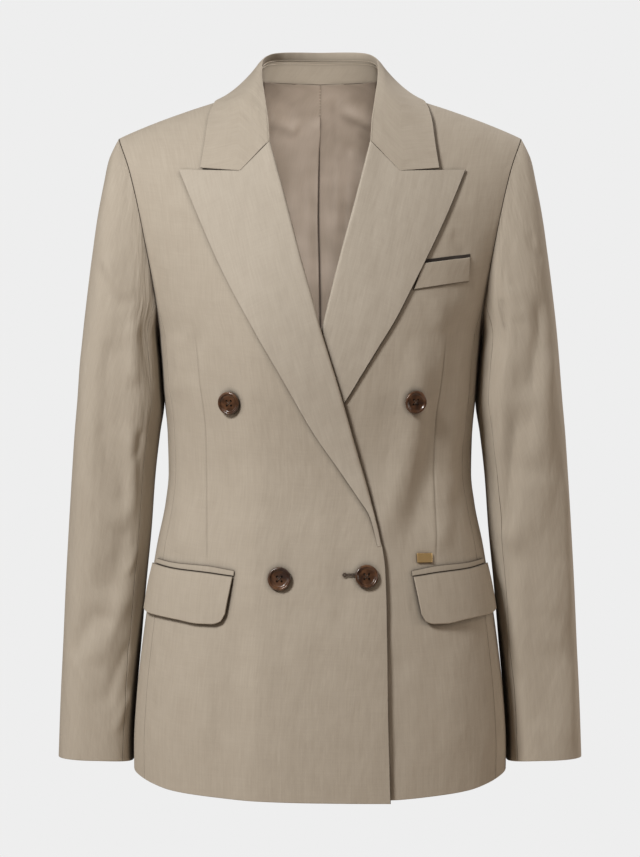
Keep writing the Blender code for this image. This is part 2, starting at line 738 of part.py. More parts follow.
# ------------------------------------------------------------------ lapels
def lapel_rise(column, x, z, share):
    """Height of a lapel's face over the front it lies on."""
    gorge = GORGE_LIFT * ramp(z, *GORGE_RAMP)
    most, rows = LAPEL_PROUD[column]
    proud = most * share**2 * ramp(z, *rows)
    return LAPEL_SEAT + gorge + proud + front_layer(column, *place(x, z))


def lapel(name, side, column, home):
    """Lapel from the roll line to its outer edge, break below, gorge and peak above."""
    roll, outer = smooth_curve(FRONT_EDGE, column), smooth_curve(LAPEL_EDGE, column)
    gorge_z, peak_z = FRONT_EDGE[-1][0], LAPEL_EDGE[-1][0]
    left = [(-roll(z), z) for z in np.linspace(BREAK_Z, gorge_z, LAPEL_ROWS + 1)]
    right = [(-outer(z), z) for z in np.linspace(BREAK_Z, peak_z, LAPEL_ROWS + 1)]
    gorge_columns = LAPEL_COLUMNS // 2
    top = between(left[-1], NOTCH, gorge_columns)
    top += between(NOTCH, right[-1], LAPEL_COLUMNS - gorge_columns)[1:]
    bottom = between(left[0], right[0], LAPEL_COLUMNS)
    grid = coons(bottom, top, left, right)
    points, normals = np.zeros((*grid.shape[:2], 3)), np.zeros((*grid.shape[:2], 3))
    for r, row in enumerate(grid):
        for c, (x, z) in enumerate(row):
            out = lapel_rise(column, x, z, c / LAPEL_COLUMNS)
            points[r, c], normals[r, c] = over(x, z, out)
    points, normals = flip(points, side), flip(normals, side)
    inset(points, ("top",), GORGE_GAP)
    return cloth(name, points, normals, FACED, "wool_collar", home)


# ------------------------------------------------------------------ collar
def spline(rows, count):
    """Smooth curve through rows of numbers, resampled to `count` points."""
    rows = np.array(rows, float)
    last = len(rows) - 1
    made = []
    for t in np.linspace(0, last, count):
        i = min(int(t), last - 1)
        f = t - i
        before, after = rows[max(i - 1, 0)], rows[min(i + 2, last)]
        a, b = rows[i], rows[i + 1]
        made.append(
            0.5
            * (
                2 * a
                + (b - before) * f
                + (2 * before - 5 * a + 4 * b - after) * f**2
                + (3 * a - 3 * b + after - before) * f**3
            )
        )
    return np.array(made)


def both_sides(rows):
    """Stations from the wearer's left gorge round the neck to the right one."""
    rows = np.array(rows, float)
    turned = rows[:-1][::-1].copy()
    turned[:, 0::3] *= -1
    return np.vstack([rows, turned])


def leaf_sections(count):
    """The fold's turned strip and the leaf, as rows of points for `count` stations."""
    gorge = [over(x, z, LAPEL_SEAT + GORGE_LIFT)[0] for x, z in GORGE]
    stations = spline(both_sides([np.concatenate(gorge), *COLLAR]), count)
    made = np.zeros((len(FOLD) + len(LEAF_SHARES), count, 3))
    last = (count - 1) / 2
    for c, row in enumerate(stations):
        fold, middle, edge = row[0:3], row[3:6], row[6:9]
        from_gorge = 1 - abs(c - last) / last
        corner = max(0.0, 1 - from_gorge / SQUARE_SHARE)
        for r, t in enumerate(LEAF_SHARES):
            soft = 2 * (t - 0.5) * (t - 1) * fold - 4 * t * (t - 1) * middle
            soft += 2 * t * (t - 0.5) * edge
            straight = fold + (middle - fold) * min(2 * t, 1) + (edge - middle) * max(2 * t - 1, 0)
            made[r + len(FOLD), c] = soft * (1 - corner) + straight * corner
        ahead, behind = stations[min(c + 1, count - 1)][:3], stations[max(c - 1, 0)][:3]
        down = made[len(FOLD), c] - fold
        down /= np.linalg.norm(down)
        back = np.cross(ahead - behind, down)
        back /= np.linalg.norm(back)
        share = GORGE_TURN + (1 - GORGE_TURN) * ease(from_gorge / STRIP_SHARE)
        for r, (fall, under) in enumerate(FOLD):
            made[r, c] = fold + down * fall * share + back * under * (0.6 + 0.4 * share)
    return made


def collar_leaf(name, home):
    """Upper collar: a turned strip inside, over the fold and down to the leaf edge."""
    points = leaf_sections(COLLAR_STATIONS)
    normals = grid_normals(points)
    if normals[-2, COLLAR_STATIONS // 2][1] < 0:
        normals = -normals
    inset(points, ("left", "right"), GORGE_GAP)
    return cloth(name, points, normals, COLLAR_CLOTH, "wool_collar", home)


def collar_stand(name, home):
    """Stand inside the back neck, from the neck seam to the seam under the fold."""
    count = 4 * len(COLLAR) + 1
    leaf = leaf_sections(count)[:, 2 * STAND_SKIP : count - 2 * STAND_SKIP]
    seam = spline(both_sides(STAND_SEAM), leaf.shape[1])
    points = np.zeros((3, leaf.shape[1], 3))
    for c in range(leaf.shape[1]):
        down = leaf[0, c] - leaf[1, c]
        high = leaf[0, c] + down / np.linalg.norm(down) * STAND_GAP
        for r, t in enumerate((0.0, 0.5, 1.0)):
            points[r, c] = seam[c] * (1 - t) + high * t
    normals = grid_normals(points)
    if normals[1, leaf.shape[1] // 2][1] > 0:
        normals = -normals
    return cloth(name, points, normals, COLLAR_CLOTH, "wool_collar", home)


# ------------------------------------------------------------------ sleeves
sleeve_outer = smooth_curve(SLEEVE, 1)
sleeve_inner = smooth_curve(SLEEVE, 2)
sleeve_mid_y = smooth_curve(SLEEVE, 3)
sleeve_depth = smooth_curve(SLEEVE, 4)
CUFF_Z = SLEEVE[-1][0]


def tube(turn, z):
    """Point of the sleeve form: turn 0 faces out, 90 degrees the front, 180 the body."""
    middle = (sleeve_outer(z) + sleeve_inner(z)) / 2
    half = (sleeve_outer(z) - sleeve_inner(z)) / 2
    x = middle + half * math.cos(turn)
    return np.array([x, sleeve_mid_y(z) - sleeve_depth(z) * math.sin(turn), z])


def tube_turn(point):
    """Turn of the sleeve form nearest to a point of the armhole."""
    z = point[2]
    middle = (sleeve_outer(z) + sleeve_inner(z)) / 2
    half = (sleeve_outer(z) - sleeve_inner(z)) / 2
    return math.atan2(-(point[1] - sleeve_mid_y(z)) / sleeve_depth(z), (point[0] - middle) / half)


def sleeve(side, tag, home):
    """Both halves of a sleeve: one ring of columns from the armhole down, cut at two seams."""
    around = ARM_FRONT + ARM_BACK[::-1][1 : HIND_SEAM_STOP + 1]
    under = ARM_BACK[: ARMHOLE_BACK - HIND_SEAM_STOP + 1][::-1] + ARM_SIDE[::-1][1:]
    cut = len(around) - 1
    stops = around + under[1:-1]
    cuff = list(np.linspace(FOREARM_TURN, HIND_TURN, len(around)))
    cuff += list(np.linspace(HIND_TURN, FOREARM_TURN - 360, len(under)))[1:-1]
    columns = len(stops)
    points, head_normals = np.zeros((SLEEVE_ROWS + 1, columns, 3)), np.zeros((columns, 3))
    heights = np.zeros((SLEEVE_ROWS + 1, columns))
    for c, (angle, rise) in enumerate(stops):
        head = torso(angle, rise) + np.array([SLEEVE_HEAD_GAP, 0, 0])
        head_normals[c] = torso_normal(angle, rise)
        end = math.radians(cuff[c])
        cuff_z = CUFF_Z - CUFF_TILT * (1 - math.cos(end))
        start = tube_turn(head)
        start += round((end - start) / (2 * math.pi)) * 2 * math.pi
        pull = head - tube(start, head[2])
        for r in range(SLEEVE_ROWS + 1):
            v = r / SLEEVE_ROWS
            z = head[2] + (cuff_z - head[2]) * v
            turn = start + (end - start) * ease(v / TURN_SHARE)
            points[r, c] = tube(turn, z) + pull * (1 - ease(v / HEAD_SHARE))
            heights[r, c] = sleeve_fold(side, math.degrees(turn), z)
    normals = grid_normals(points, ring=True)
    if normals[SLEEVE_ROWS // 2, 0][1] > 0:
        normals = -normals
    points += normals * heights[:, :, None]
    for c in range(columns):
        share = ease(float(np.dot(normals[0, c], head_normals[c])) * 2)
        normals[0, c] = normals[0, c] * (1 - share) + head_normals[c] * share
        normals[0, c] /= np.linalg.norm(normals[0, c])
    points, normals = flip(points, side), flip(normals, side)
    loop = list(range(columns)) + [0]
    for name, picked in (("top", loop[: cut + 1]), ("under", loop[cut:])):
        piece = inset(points[:, picked].copy(), ("left", "right"), SLEEVE_SEAM)
        cloth(f"sleeve_{name}_{tag}", piece, normals[:, picked], CLOTH, "wool", home)


# ------------------------------------------------------------------ pockets
def strip(name, side, column, stops, levels, thick, out_top, out_bottom, home):
    """A flat pocket piece laid on the front: each stop is angle, slant, top_z, bottom_z."""
    points, normals = np.zeros((levels + 1, len(stops), 3)), np.zeros((levels + 1, len(stops), 3))
    for c, (angle, slant, top, bottom) in enumerate(stops):
        for r in range(levels + 1):
            t = r / levels
            turn = math.radians(angle + slant * (1 - t))
            rise = bottom + (top - bottom) * t - UNDERARM_Z
            normals[r, c] = torso_normal(turn, rise)
            out = out_bottom + (out_top - out_bottom) * t + front_layer(column, turn, rise)
            points[r, c] = torso(turn, rise) + out * normals[r, c]
    return cloth(name, flip(points, side), flip(normals, side), thick, "wool", home)


def pocket(side, column, tag, home):
    """Jet and flap of a side pocket."""
    high, low = smooth_curve(JET, 1), smooth_curve(JET, 2)
    first, last = JET[0][0], JET[-1][0]

    def fade(angle):
        return (last - angle) / (last - first)

    def shifted(angle):
        return angle + (POCKET_START[side] - first) * fade(angle)

    stops = [
        (shifted(a), 0.0, high(a), low(a)) for a in np.linspace(first, JET_END, JET_COLUMNS + 1)
    ]
    name = "pocket_jet_" + tag
    strip(name, side, column, stops, JET_ROWS, JET_CLOTH, JET_OUT, JET_OUT, home)
    stops = [(shifted(a), FLAP_SLANT * fade(a), low(a) - FLAP_DROP, bottom) for a, bottom in FLAP]
    name = "pocket_flap_" + tag
    strip(name, side, column, stops, FLAP_ROWS, FACED, FLAP_OUT_TOP, FLAP_OUT_BOTTOM, home)


def welt(name, home):
    """Chest pocket welt on the left front."""
    top_inner, top_outer, bottom_outer, bottom_inner = (np.array(c) for c in WELT)
    shape = (WELT_ROWS + 1, WELT_COLUMNS + 1, 3)
    points, normals = np.zeros(shape), np.zeros(shape)
    for r in range(WELT_ROWS + 1):
        for c in range(WELT_COLUMNS + 1):
            low = bottom_inner + (bottom_outer - bottom_inner) * c / WELT_COLUMNS
            high = top_inner + (top_outer - top_inner) * c / WELT_COLUMNS
            spot = low + (high - low) * r / WELT_ROWS
            points[r, c], normals[r, c] = over(*spot, WELT_OUT)
    return cloth(name, points, normals, CLOTH, "wool", home)


# ------------------------------------------------------------------ buttons and bar
def facing(x, z, out):
    """Place on a front and the frame whose +Z is the front's outward normal."""
    point, normal = over(x, z, out)
    up = Vector((0, 0, 1))
    outward = Vector(normal)
    right = up.cross(outward).normalized()
    turn = Matrix((right, outward.cross(right), outward)).transposed()
    return Vector(point) * MM, turn


def button(name, x, z, out, home, cutters):
    """Round four-hole button with a raised rim, turned from its profile."""
    mesh = bpy.data.meshes.new(name)
    verts = [(radius * MM, 0.0, height * MM) for radius, height in BUTTON_PROFILE]
    mesh.from_pydata(verts, [(i, i + 1) for i in range(len(verts) - 1)], [])
    thing = add_object(name, mesh, "horn", home)
    location, turn = facing(x, z, out)
    thing.matrix_world = Matrix.Translation(location) @ turn.to_4x4()
    turned = thing.modifiers.new("turned", "SCREW")
    turned.axis = "Z"
    turned.steps = turned.render_steps = BUTTON_SEGMENTS
    turned.use_merge_vertices = True
    turned.merge_threshold = 0.01 * MM
    for i, (sx, sy) in enumerate(((1, 1), (-1, 1), (-1, -1), (1, -1))):
        hole = bmesh.new()
        bmesh.ops.create_cone(
            hole,
            cap_ends=True,
            segments=HOLE_SEGMENTS,
            radius1=BUTTON_HOLE * MM,
            radius2=BUTTON_HOLE * MM,
            depth=BUTTON_HOLE_DEPTH * MM,
        )
        shape = bpy.data.meshes.new(f"{name}_hole_{i}")
        hole.to_mesh(shape)
        hole.free()
        cutter = bpy.data.objects.new(f"{name}_hole_{i}", shape)
        cutters.objects.link(cutter)
        cutter.hide_render = True
        cutter.display_type = "WIRE"
        offset = Vector((sx * BUTTON_HOLE_OFFSET, sy * BUTTON_HOLE_OFFSET, 1)) * MM
        cutter.matrix_world = thing.matrix_world @ Matrix.Translation(offset)
        cut = thing.modifiers.new(f"hole_{i}", "BOOLEAN")
        cut.operation = "DIFFERENCE"
        cut.solver = "EXACT"
        cut.object = cutter
    return thing


def metal_bar(name, home):
    """Small plain metal bar above the left pocket."""
    width, height, thick = BAR_SIZE
    form = bmesh.new()
    bmesh.ops.create_cube(form, size=1)
    bmesh.ops.scale(form, vec=(width * MM, height * MM, thick * MM), verts=form.verts)
    bmesh.ops.bevel(
        form, geom=form.edges[:], offset=BAR_BEVEL * MM, segments=2, affect="EDGES", profile=0.5
    )
    mesh = bpy.data.meshes.new(name)
    form.to_mesh(mesh)
    form.free()
    thing = add_object(name, mesh, "brass", home)
    location, turn = facing(*BAR_PLACE, BAR_OUT)
    thing.matrix_world = Matrix.Translation(location) @ turn.to_4x4()
    return thing


# ------------------------------------------------------------------ build
def build():
    for thing in list(bpy.data.objects):
        bpy.data.objects.remove(thing, do_unlink=True)
    home = bpy.data.collections.new("double_breasted_blazer")
    cutters = bpy.data.collections.new("button_hole_cutters")
    bpy.context.scene.collection.children.link(home)
    bpy.context.scene.collection.children.link(cutters)
    front_panel("front_right_over", -1, 1, home)
    front_panel("front_left_under", 1, 2, home)
    lapel("lapel_right_over", -1, 1, home)
    lapel("lapel_left_under", 1, 2, home)
    for side, tag in ((1, "left"), (-1, "right")):
        side_panel("side_body_" + tag, side, home)
        back_panel("back_" + tag, side, home)
        sleeve(side, tag, home)
        pocket(side, 2 if side == 1 else 1, tag, home)
    back_lining("back_lining", home)
    collar_leaf("collar_leaf", home)
    collar_stand("collar_stand", home)
    welt("chest_welt", home)
    for name, x, z, front in BUTTONS:
        climb = ramp(-x - BUTTON_RADIUS / 2, *CLIMB) if front == "over" else 0.0
        button(name, x, z, OVERLAP_LIFT * climb + BUTTON_SHANK, home, cutters)
    metal_bar("metal_bar", home)


build()
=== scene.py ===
# %% [markdown]
# # A double breasted blazer in taupe wool
# A tailored jacket is flat cloth that cutting, darts and steam have turned into a hollow body. It can
# be simulated, sculpted, or worked out panel by panel on a few smooth forms. The last is used here:
# all the seams meet exactly, the jacket stays hollow, and every size can be read and changed.

# %% The fixed frame
import json
import math

import bmesh
import bpy
import numpy as np
from mathutils import Matrix, Vector

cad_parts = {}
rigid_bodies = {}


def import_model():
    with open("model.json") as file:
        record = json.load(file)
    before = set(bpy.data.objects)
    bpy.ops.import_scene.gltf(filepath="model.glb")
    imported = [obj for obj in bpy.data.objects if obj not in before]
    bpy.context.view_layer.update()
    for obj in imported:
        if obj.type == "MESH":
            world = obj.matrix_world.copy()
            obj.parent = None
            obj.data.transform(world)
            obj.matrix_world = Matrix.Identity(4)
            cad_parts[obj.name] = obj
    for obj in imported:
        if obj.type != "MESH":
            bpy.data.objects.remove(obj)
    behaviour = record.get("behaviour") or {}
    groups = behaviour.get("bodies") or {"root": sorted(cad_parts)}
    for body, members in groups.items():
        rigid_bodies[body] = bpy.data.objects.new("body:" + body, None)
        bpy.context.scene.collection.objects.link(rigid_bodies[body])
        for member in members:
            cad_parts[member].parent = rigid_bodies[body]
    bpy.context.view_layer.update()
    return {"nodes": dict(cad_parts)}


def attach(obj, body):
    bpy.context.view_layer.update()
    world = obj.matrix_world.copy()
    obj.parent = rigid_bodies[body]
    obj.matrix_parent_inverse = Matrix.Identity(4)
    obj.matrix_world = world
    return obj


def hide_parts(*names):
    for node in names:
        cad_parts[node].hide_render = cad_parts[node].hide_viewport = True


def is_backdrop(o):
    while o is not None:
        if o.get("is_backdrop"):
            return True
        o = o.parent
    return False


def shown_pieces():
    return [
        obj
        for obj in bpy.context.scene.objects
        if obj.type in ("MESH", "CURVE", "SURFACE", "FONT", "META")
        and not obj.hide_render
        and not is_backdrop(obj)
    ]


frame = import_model()
MM = 0.001  # all tables are in millimetres, all objects in metres
print("nodes in the frame:", len(frame["nodes"]))


# %% [markdown]
# ## Helpers
# `put` brings an object into the scene. `add_node` adds any shader node, with its settings and links,
# so that a material reads from top to bottom as a short recipe.


# %% Objects, colours and nodes
def put(name, data):
    made = bpy.data.objects.new(name, data)
    bpy.context.scene.collection.objects.link(made)
    return made


def mesh_from(form, name):
    mesh = bpy.data.meshes.new(name)
    form.to_mesh(mesh)
    form.free()
    return mesh


def linear(code):
    """The linear colour of an sRGB hex code."""
    parts = [int(code[i : i + 2], 16) / 255 for i in (1, 3, 5)]
    return [p / 12.92 if p <= 0.04045 else ((p + 0.055) / 1.055) ** 2.4 for p in parts] + [1.0]


def join(tree, node, **links):
    """Joins sockets, by name or as i0, i1, to outputs or to the first output of nodes."""
    for name, source in links.items():
        socket = int(name[1:]) if name[1:].isdigit() else name.replace("_", " ")
        tree.links.new(getattr(source, "outputs", [source])[0], node.inputs[socket])
    return node


def add_node(tree, kind, settings=None, **links):
    """Adds a shader node; a setting is an attribute or a socket."""
    made = tree.nodes.new("ShaderNode" + kind)
    for name, value in (settings or {}).items():
        if isinstance(name, str) and hasattr(made, name):
            setattr(made, name, value)
        else:
            made.inputs[name].default_value = value
    return join(tree, made, **links)


def material(name, settings):
    """A material with its shader's own settings, its tree and its shader."""
    made = bpy.data.materials.new(name)
    made.use_nodes = True
    shader = made.node_tree.nodes["Principled BSDF"]
    for socket, value in settings.items():
        shader.inputs[socket].default_value = value
    return made, made.node_tree, shader


print("brown thread in linear light:", [round(part, 3) for part in linear("#5a4432")])

# %% [markdown]
# ## Camera, floor and light
# A jacket is pictured from far off with a long lens, so that nothing is foreshortened, and level with
# its middle. A soft key light from the upper left models the folds. Four weaker lamps at the sides, in
# front and behind keep the shaded parts readable, and a pale world does the rest.

# %% Camera
PICTURE_HEIGHT = 0.857  # metres of the jacket's plane that the picture holds
CAMERA_DISTANCE, CAMERA_HEIGHT = 3.6, -0.3355
camera_data = bpy.data.cameras.new("studio_camera")
camera_data.lens = camera_data.sensor_width * CAMERA_DISTANCE / PICTURE_HEIGHT
camera = put("studio_camera", camera_data)
camera.location = (0, -CAMERA_DISTANCE, CAMERA_HEIGHT)
camera.rotation_euler = (math.radians(90), 0, 0)
bpy.context.scene.camera = camera
print("lens", round(camera_data.lens, 1), "mm")

# %% Floor, lamps and world
FLOOR_Z, FLOOR_RADIUS = -1.4, 2.0
LAMPS = [  # name, place, size, watts, colour
    ("key_lamp", (-1.3, -1.9, 1.15), 0.6, 62, "#fffefc"),
    ("left_lamp", (-2.5, -0.7, 0.1), 0.9, 6, "#fffefc"),
    ("right_lamp", (2.5, -0.1, -0.1), 1.0, 12, "#fff3e6"),
    ("fill_lamp", (0.9, -1.3, 1.3), 0.8, 3, "#fff3e6"),
    ("top_lamp", (1.7, 1.6, 1.7), 1.8, 34, "#ffffff"),
]
BACKDROP, AMBIENT, AMBIENT_STRENGTH = "#eeeeee", "#fbe5d3", 0.1


def add_lamp(name, spot, aim, size, watts, tint):
    """A square lamp at a spot, turned towards an aim."""
    data = bpy.data.lights.new(name, "AREA")
    data.size, data.energy, data.color = size, watts, linear(tint)[:3]
    lamp = put(name, data)
    lamp.location = spot
    lamp.rotation_euler = (Vector(aim) - Vector(spot)).to_track_quat("-Z", "Y").to_euler()
    return lamp


floor_form = bmesh.new()
bmesh.ops.create_circle(floor_form, cap_ends=True, radius=FLOOR_RADIUS, segments=96)
floor = put("studio_floor", mesh_from(floor_form, "studio_floor"))
floor.location.z = FLOOR_Z
floor_paint = material("matt_floor_paint", {"Base Color": linear("#d6c8b9"), "Roughness": 0.8})[0]
floor.data.materials.append(floor_paint)
floor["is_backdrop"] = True
for name, spot, size, watts, tint in LAMPS:
    add_lamp(name, spot, (0, 0, CAMERA_HEIGHT), size, watts, tint)
world = bpy.data.worlds.new("pale_studio")
world.use_nodes = True
bpy.context.scene.world = world
sky = world.node_tree
seen = add_node(sky, "Background", {"Color": linear(BACKDROP), "Strength": 1.0})
glow = add_node(sky, "Background", {"Color": linear(AMBIENT), "Strength": AMBIENT_STRENGTH})
ray = add_node(sky, "LightPath")
both_skies = add_node(sky, "MixShader", i0=ray.outputs["Is Camera Ray"], i1=glow, i2=seen)
join(sky, sky.nodes["World Output"], Surface=both_skies)
bpy.context.scene.view_settings.view_transform = "Standard"
print("lamps:", len(LAMPS))

# %% [markdown]
# ## Curves from short tables
# A pattern cutter gives a curve by a few measures and draws a fair line through them. So does the
# function below: it joins the rows of a table without ever swinging past them, as an ordinary spline
# would. `ramp` fades anything in or out with soft ends.


# %% Fair curves
def smooth_curve(rows, column):
    """Curve without overshoot through one column of a table, over its first column."""
    xs, ys = np.array(sorted((row[0], row[column]) for row in rows), float).T
    steps = np.diff(xs)
    slopes = np.diff(ys) / steps
    ends = np.concatenate([slopes[:1], np.zeros(len(xs) - 2), slopes[-1:]])
    for i in range(1, len(xs) - 1):
        before, after, near, far = slopes[i - 1], slopes[i], steps[i - 1], steps[i]
        if before * after > 0:
            ends[i] = 3 * (near + far) / ((2 * far + near) / before + (far + 2 * near) / after)

    def value(x):
        x = np.clip(np.asarray(x, float), xs[0], xs[-1])
        i = np.clip(np.searchsorted(xs, x) - 1, 0, len(xs) - 2)
        t = (x - xs[i]) / steps[i]
        level = (2 * t**3 - 3 * t**2 + 1) * ys[i] + (3 * t**2 - 2 * t**3) * ys[i + 1]
        return level + steps[i] * ((t**3 - 2 * t**2 + t) * ends[i] + (t**3 - t**2) * ends[i + 1])

    return value


def ramp(value, start, whole):
    """0 at `start` and 1 at `whole`, eased between; `whole` may be the smaller."""
    t = np.clip((np.asarray(value, float) - start) / (whole - start), 0, 1)
    return t * t * (3 - 2 * t)


def bell(value, width):
    """1 at zero, fading at both sides."""
    return np.exp(-((value / width) ** 2))


def spline(rows, count):
    """Smooth curve through rows of numbers, resampled to `count` rows."""
    rows = np.asarray(rows, float)
    last = len(rows) - 1
    t = np.linspace(0, last, count)
    i = np.minimum(t.astype(int), last - 1)
    f = (t - i).reshape(-1, *[1] * (rows.ndim - 1))
    before, a, b, after = rows[np.maximum(i - 1, 0)], rows[i], rows[i + 1], rows[np.minimum(i + 2, last)]
    bend = (2 * before - 5 * a + 4 * b - after) * f**2 + (3 * a - 3 * b + after - before) * f**3
    return 0.5 * (2 * a + (b - before) * f + bend)


print("half way up a ramp:", float(ramp(5, 0, 10)))

# %% [markdown]
# ## The body form
# Chest, waist and hips are level ovals, squarer than an ellipse. Above the underarm the form closes
# into a sloping shoulder ridge, as a dress form does. A place on it is an angle, 0 at the centre front
# and 180 at the centre back, and a rise, in millimetres above the underarm.

# %% Tables of the body form
UNDERARM_Z, RISE = -240.0, 200.0
FRONT_FULLNESS, BACK_FULLNESS = 2.3, 2.5
FRONT_LEAN, BACK_LEAN = 1.9, 2.6
RIDGE_WIDTH = 250.0
SECTIONS = [  # z, half_width, front_y, side_y, back_y
    (-240, 162.0, -124, 4, 104), (-270, 158.5, -122, 3, 98), (-300, 156.0, -118, 2, 91),
    (-340, 152.2, -111, 1, 84), (-380, 151.2, -107, 0, 81), (-410, 154.3, -108, -1, 84),
    (-450, 162.4, -112, -3, 92), (-500, 170.3, -117, -5, 101), (-550, 177.2, -121, -7, 107),
    (-600, 182.5, -124, -9, 110), (-650, 185.2, -126, -10, 111), (-705, 184.6, -127, -10, 111),
]
RIDGE = [  # x, z, y
    (0, 50, 8), (40, 28, 8), (74, 3.4, 8), (100, -7, 7), (128, -16.3, 6), (160, -27.8, 5), (192, -41, 4),
    (201, -45.2, 4), (250, -75, 4), (270, -90, 4),
]
SPREAD = [(0, 162), (0.15, 174), (0.3, 188), (0.5, 208), (0.75, 231), (1, RIDGE_WIDTH)]
ARMHOLE = [  # z, x
    (-262, 172), (-250, 164.5), (-240, 160.8), (-225, 160.6), (-195, 164.7), (-148, 173.4), (-107, 182),
    (-75, 190.5), (-46.5, 201), (-30, 206),
]
half_width, front_y, side_y, back_y = (smooth_curve(SECTIONS, i) for i in (1, 2, 3, 4))
ridge_z, ridge_y = smooth_curve(RIDGE, 1), smooth_curve(RIDGE, 2)
spread, armhole_x = smooth_curve(SPREAD, 1), smooth_curve(ARMHOLE, 1)
print("sections of the body:", len(SECTIONS))


# %% Places on the body form
def torso(angle, rise):
    """Points of the body form at arrays of angles, in radians, and rises."""
    angle, rise = np.broadcast_arrays(np.asarray(angle, float), np.asarray(rise, float))
    facing = np.cos(angle) >= 0
    power = 2 / np.where(facing, FRONT_FULLNESS, BACK_FULLNESS)
    across = np.sign(np.sin(angle)) * np.abs(np.sin(angle)) ** power
    along = np.abs(np.cos(angle)) ** power
    z = UNDERARM_Z + np.minimum(rise, 0)
    y = side_y(z) + (np.where(facing, front_y(z), back_y(z)) - side_y(z)) * along
    share = np.clip(rise / RISE, 0, 1)
    ridge_x = RIDGE_WIDTH * np.abs(across)
    climb = np.sin(share * math.pi / 2)
    lean_power = np.where(facing, FRONT_LEAN, BACK_LEAN)
    lean = np.maximum(0, 1 - climb**lean_power) ** (1 / lean_power)
    high_y = ridge_y(ridge_x) + (y - ridge_y(ridge_x)) * lean
    high_z = UNDERARM_Z + (ridge_z(ridge_x) - UNDERARM_Z) * climb
    high = np.stack([spread(share) * across, high_y, high_z], axis=-1)
    low = np.stack([half_width(z) * across, y, z], axis=-1)
    return np.where((rise <= 0)[..., None], low, high)


def unit(vectors):
    return vectors / np.maximum(np.linalg.norm(vectors, axis=-1, keepdims=True), 1e-9)


def torso_normal(angle, rise):
    """Outward normals of the body form."""
    turn, step = 1e-3, 1.0
    top = np.minimum(rise + step / 2, RISE)
    around = torso(angle + turn, rise) - torso(angle - turn, rise)
    return unit(np.cross(around, torso(angle, top) - torso(angle, top - step)))


def off_form(angle, rise, out, side=1):
    """Points that lie `out` off the form, mirrored when side is -1."""
    return (torso(angle, rise) + out[..., None] * torso_normal(angle, rise)) * (side, 1, 1)


def angle_at(across, back):
    """Angle of the form at a share of its half width."""
    angle = np.arcsin(across ** ((BACK_FULLNESS if back else FRONT_FULLNESS) / 2))
    return math.pi - angle if back else angle


def place(x, z, back=False):
    """Angle and rise of the form at x, z of its front or back."""
    x, z = np.broadcast_arrays(np.asarray(x, float), np.asarray(z, float))
    across = np.minimum(np.abs(x) / spread(0.5), 1)
    for _ in range(30):
        reach = (z - UNDERARM_Z) / (ridge_z(RIDGE_WIDTH * across) - UNDERARM_Z)
        share = np.arcsin(np.clip(reach, 0, 1)) * 2 / math.pi
        across = np.minimum(np.abs(x) / spread(share), 1)
    low = z <= UNDERARM_Z
    rise = np.where(low, z - UNDERARM_Z, share * RISE)
    across = np.where(low, np.minimum(np.abs(x) / half_width(z), 1), across)
    return np.copysign(angle_at(across, back), x), rise


def over(x, z, out):
    """Points `out` off the form that show at x, z from the front, and their normals."""
    seat_x, seat_z, out = np.array(x, float), np.array(z, float), np.asarray(out)[..., None]
    for _ in range(5):
        seat = place(seat_x, seat_z)
        normal = torso_normal(*seat)
        point = torso(*seat) + out * normal
        seat_x, seat_z = seat_x + x - point[..., 0], seat_z + z - point[..., 2]
    return point, normal


def lengths_along(points, axis):
    """Distance from the first row or column to each point, along the grid."""
    steps = np.linalg.norm(np.diff(points, axis=axis), axis=-1)
    start = np.zeros_like(np.take(steps, [0], axis=axis))
    return np.concatenate([start, np.cumsum(steps, axis=axis)], axis=axis)


def armhole_stops(start, end, count):
    """Angles and rises of the armhole between two angles in degrees, evenly spaced."""
    angle = np.radians(np.linspace(start, end, 240))
    low, high = np.full(angle.shape, -25.0), np.full(angle.shape, RISE)
    for _ in range(40):
        middle = (low + high) / 2
        point = torso(angle, middle)
        beyond = point[:, 0] > armhole_x(point[:, 2])
        high, low = np.where(beyond, middle, high), np.where(beyond, low, middle)
    lengths = lengths_along(torso(angle, low), 0)
    wanted = np.linspace(0, lengths[-1], count + 1)
    return np.stack([np.interp(wanted, lengths, angle), np.interp(wanted, lengths, low)], axis=-1)


girth = 2 * lengths_along(torso(np.linspace(0, math.pi, 200), -100), 0)[-1]
print("girth at the waist:", round(girth), "mm")

# %% [markdown]
# ## Where the panels meet
# The tables below are the pattern: front edges and roll lines, the outline of the lapels, the hem, the
# neck, and the angles of the side seams. `FINE` says how many steps of cloth lie between two stops.

# %% Tables of the cut
NECK_X, SHOULDER_X, NECK_BACK_Z = 66.0, 201.0, 16.0
NOTCH, LEAF_CORNER = (78.0, -84.0), (117.5, -80.0)
NECK_BEND, BREAK_Z, CHEST_Z = (57.5, -20.0), -450.0, -215.0
FRONT_SEAM_ANGLE, BACK_SEAM_ANGLE = 70.0, 112.0
FRONT_SEAM_HEM, BACK_SEAM_HEM = np.radians([67.6, 118.0])
FRONT_EDGE = [  # z, over_x, under_x: reach past the centre, hem to gorge
    (-698, 67.5, 67.5), (-617, 65.6, 65.6), (-540, 64.6, 64.6), (-472, 62.6, 62.6), (-453, 60.2, 60.2),
    (-405, 49.2, 47.5), (-356, 35.2, 33.5), (-298, 18.6, 16.5), (-240, 0.8, -1.5), (-212, -6.8, -8.2),
    (-163, -20.4, -20.6), (-114, -32.8, -33.8), (-54, -49.0, -49.0),
]
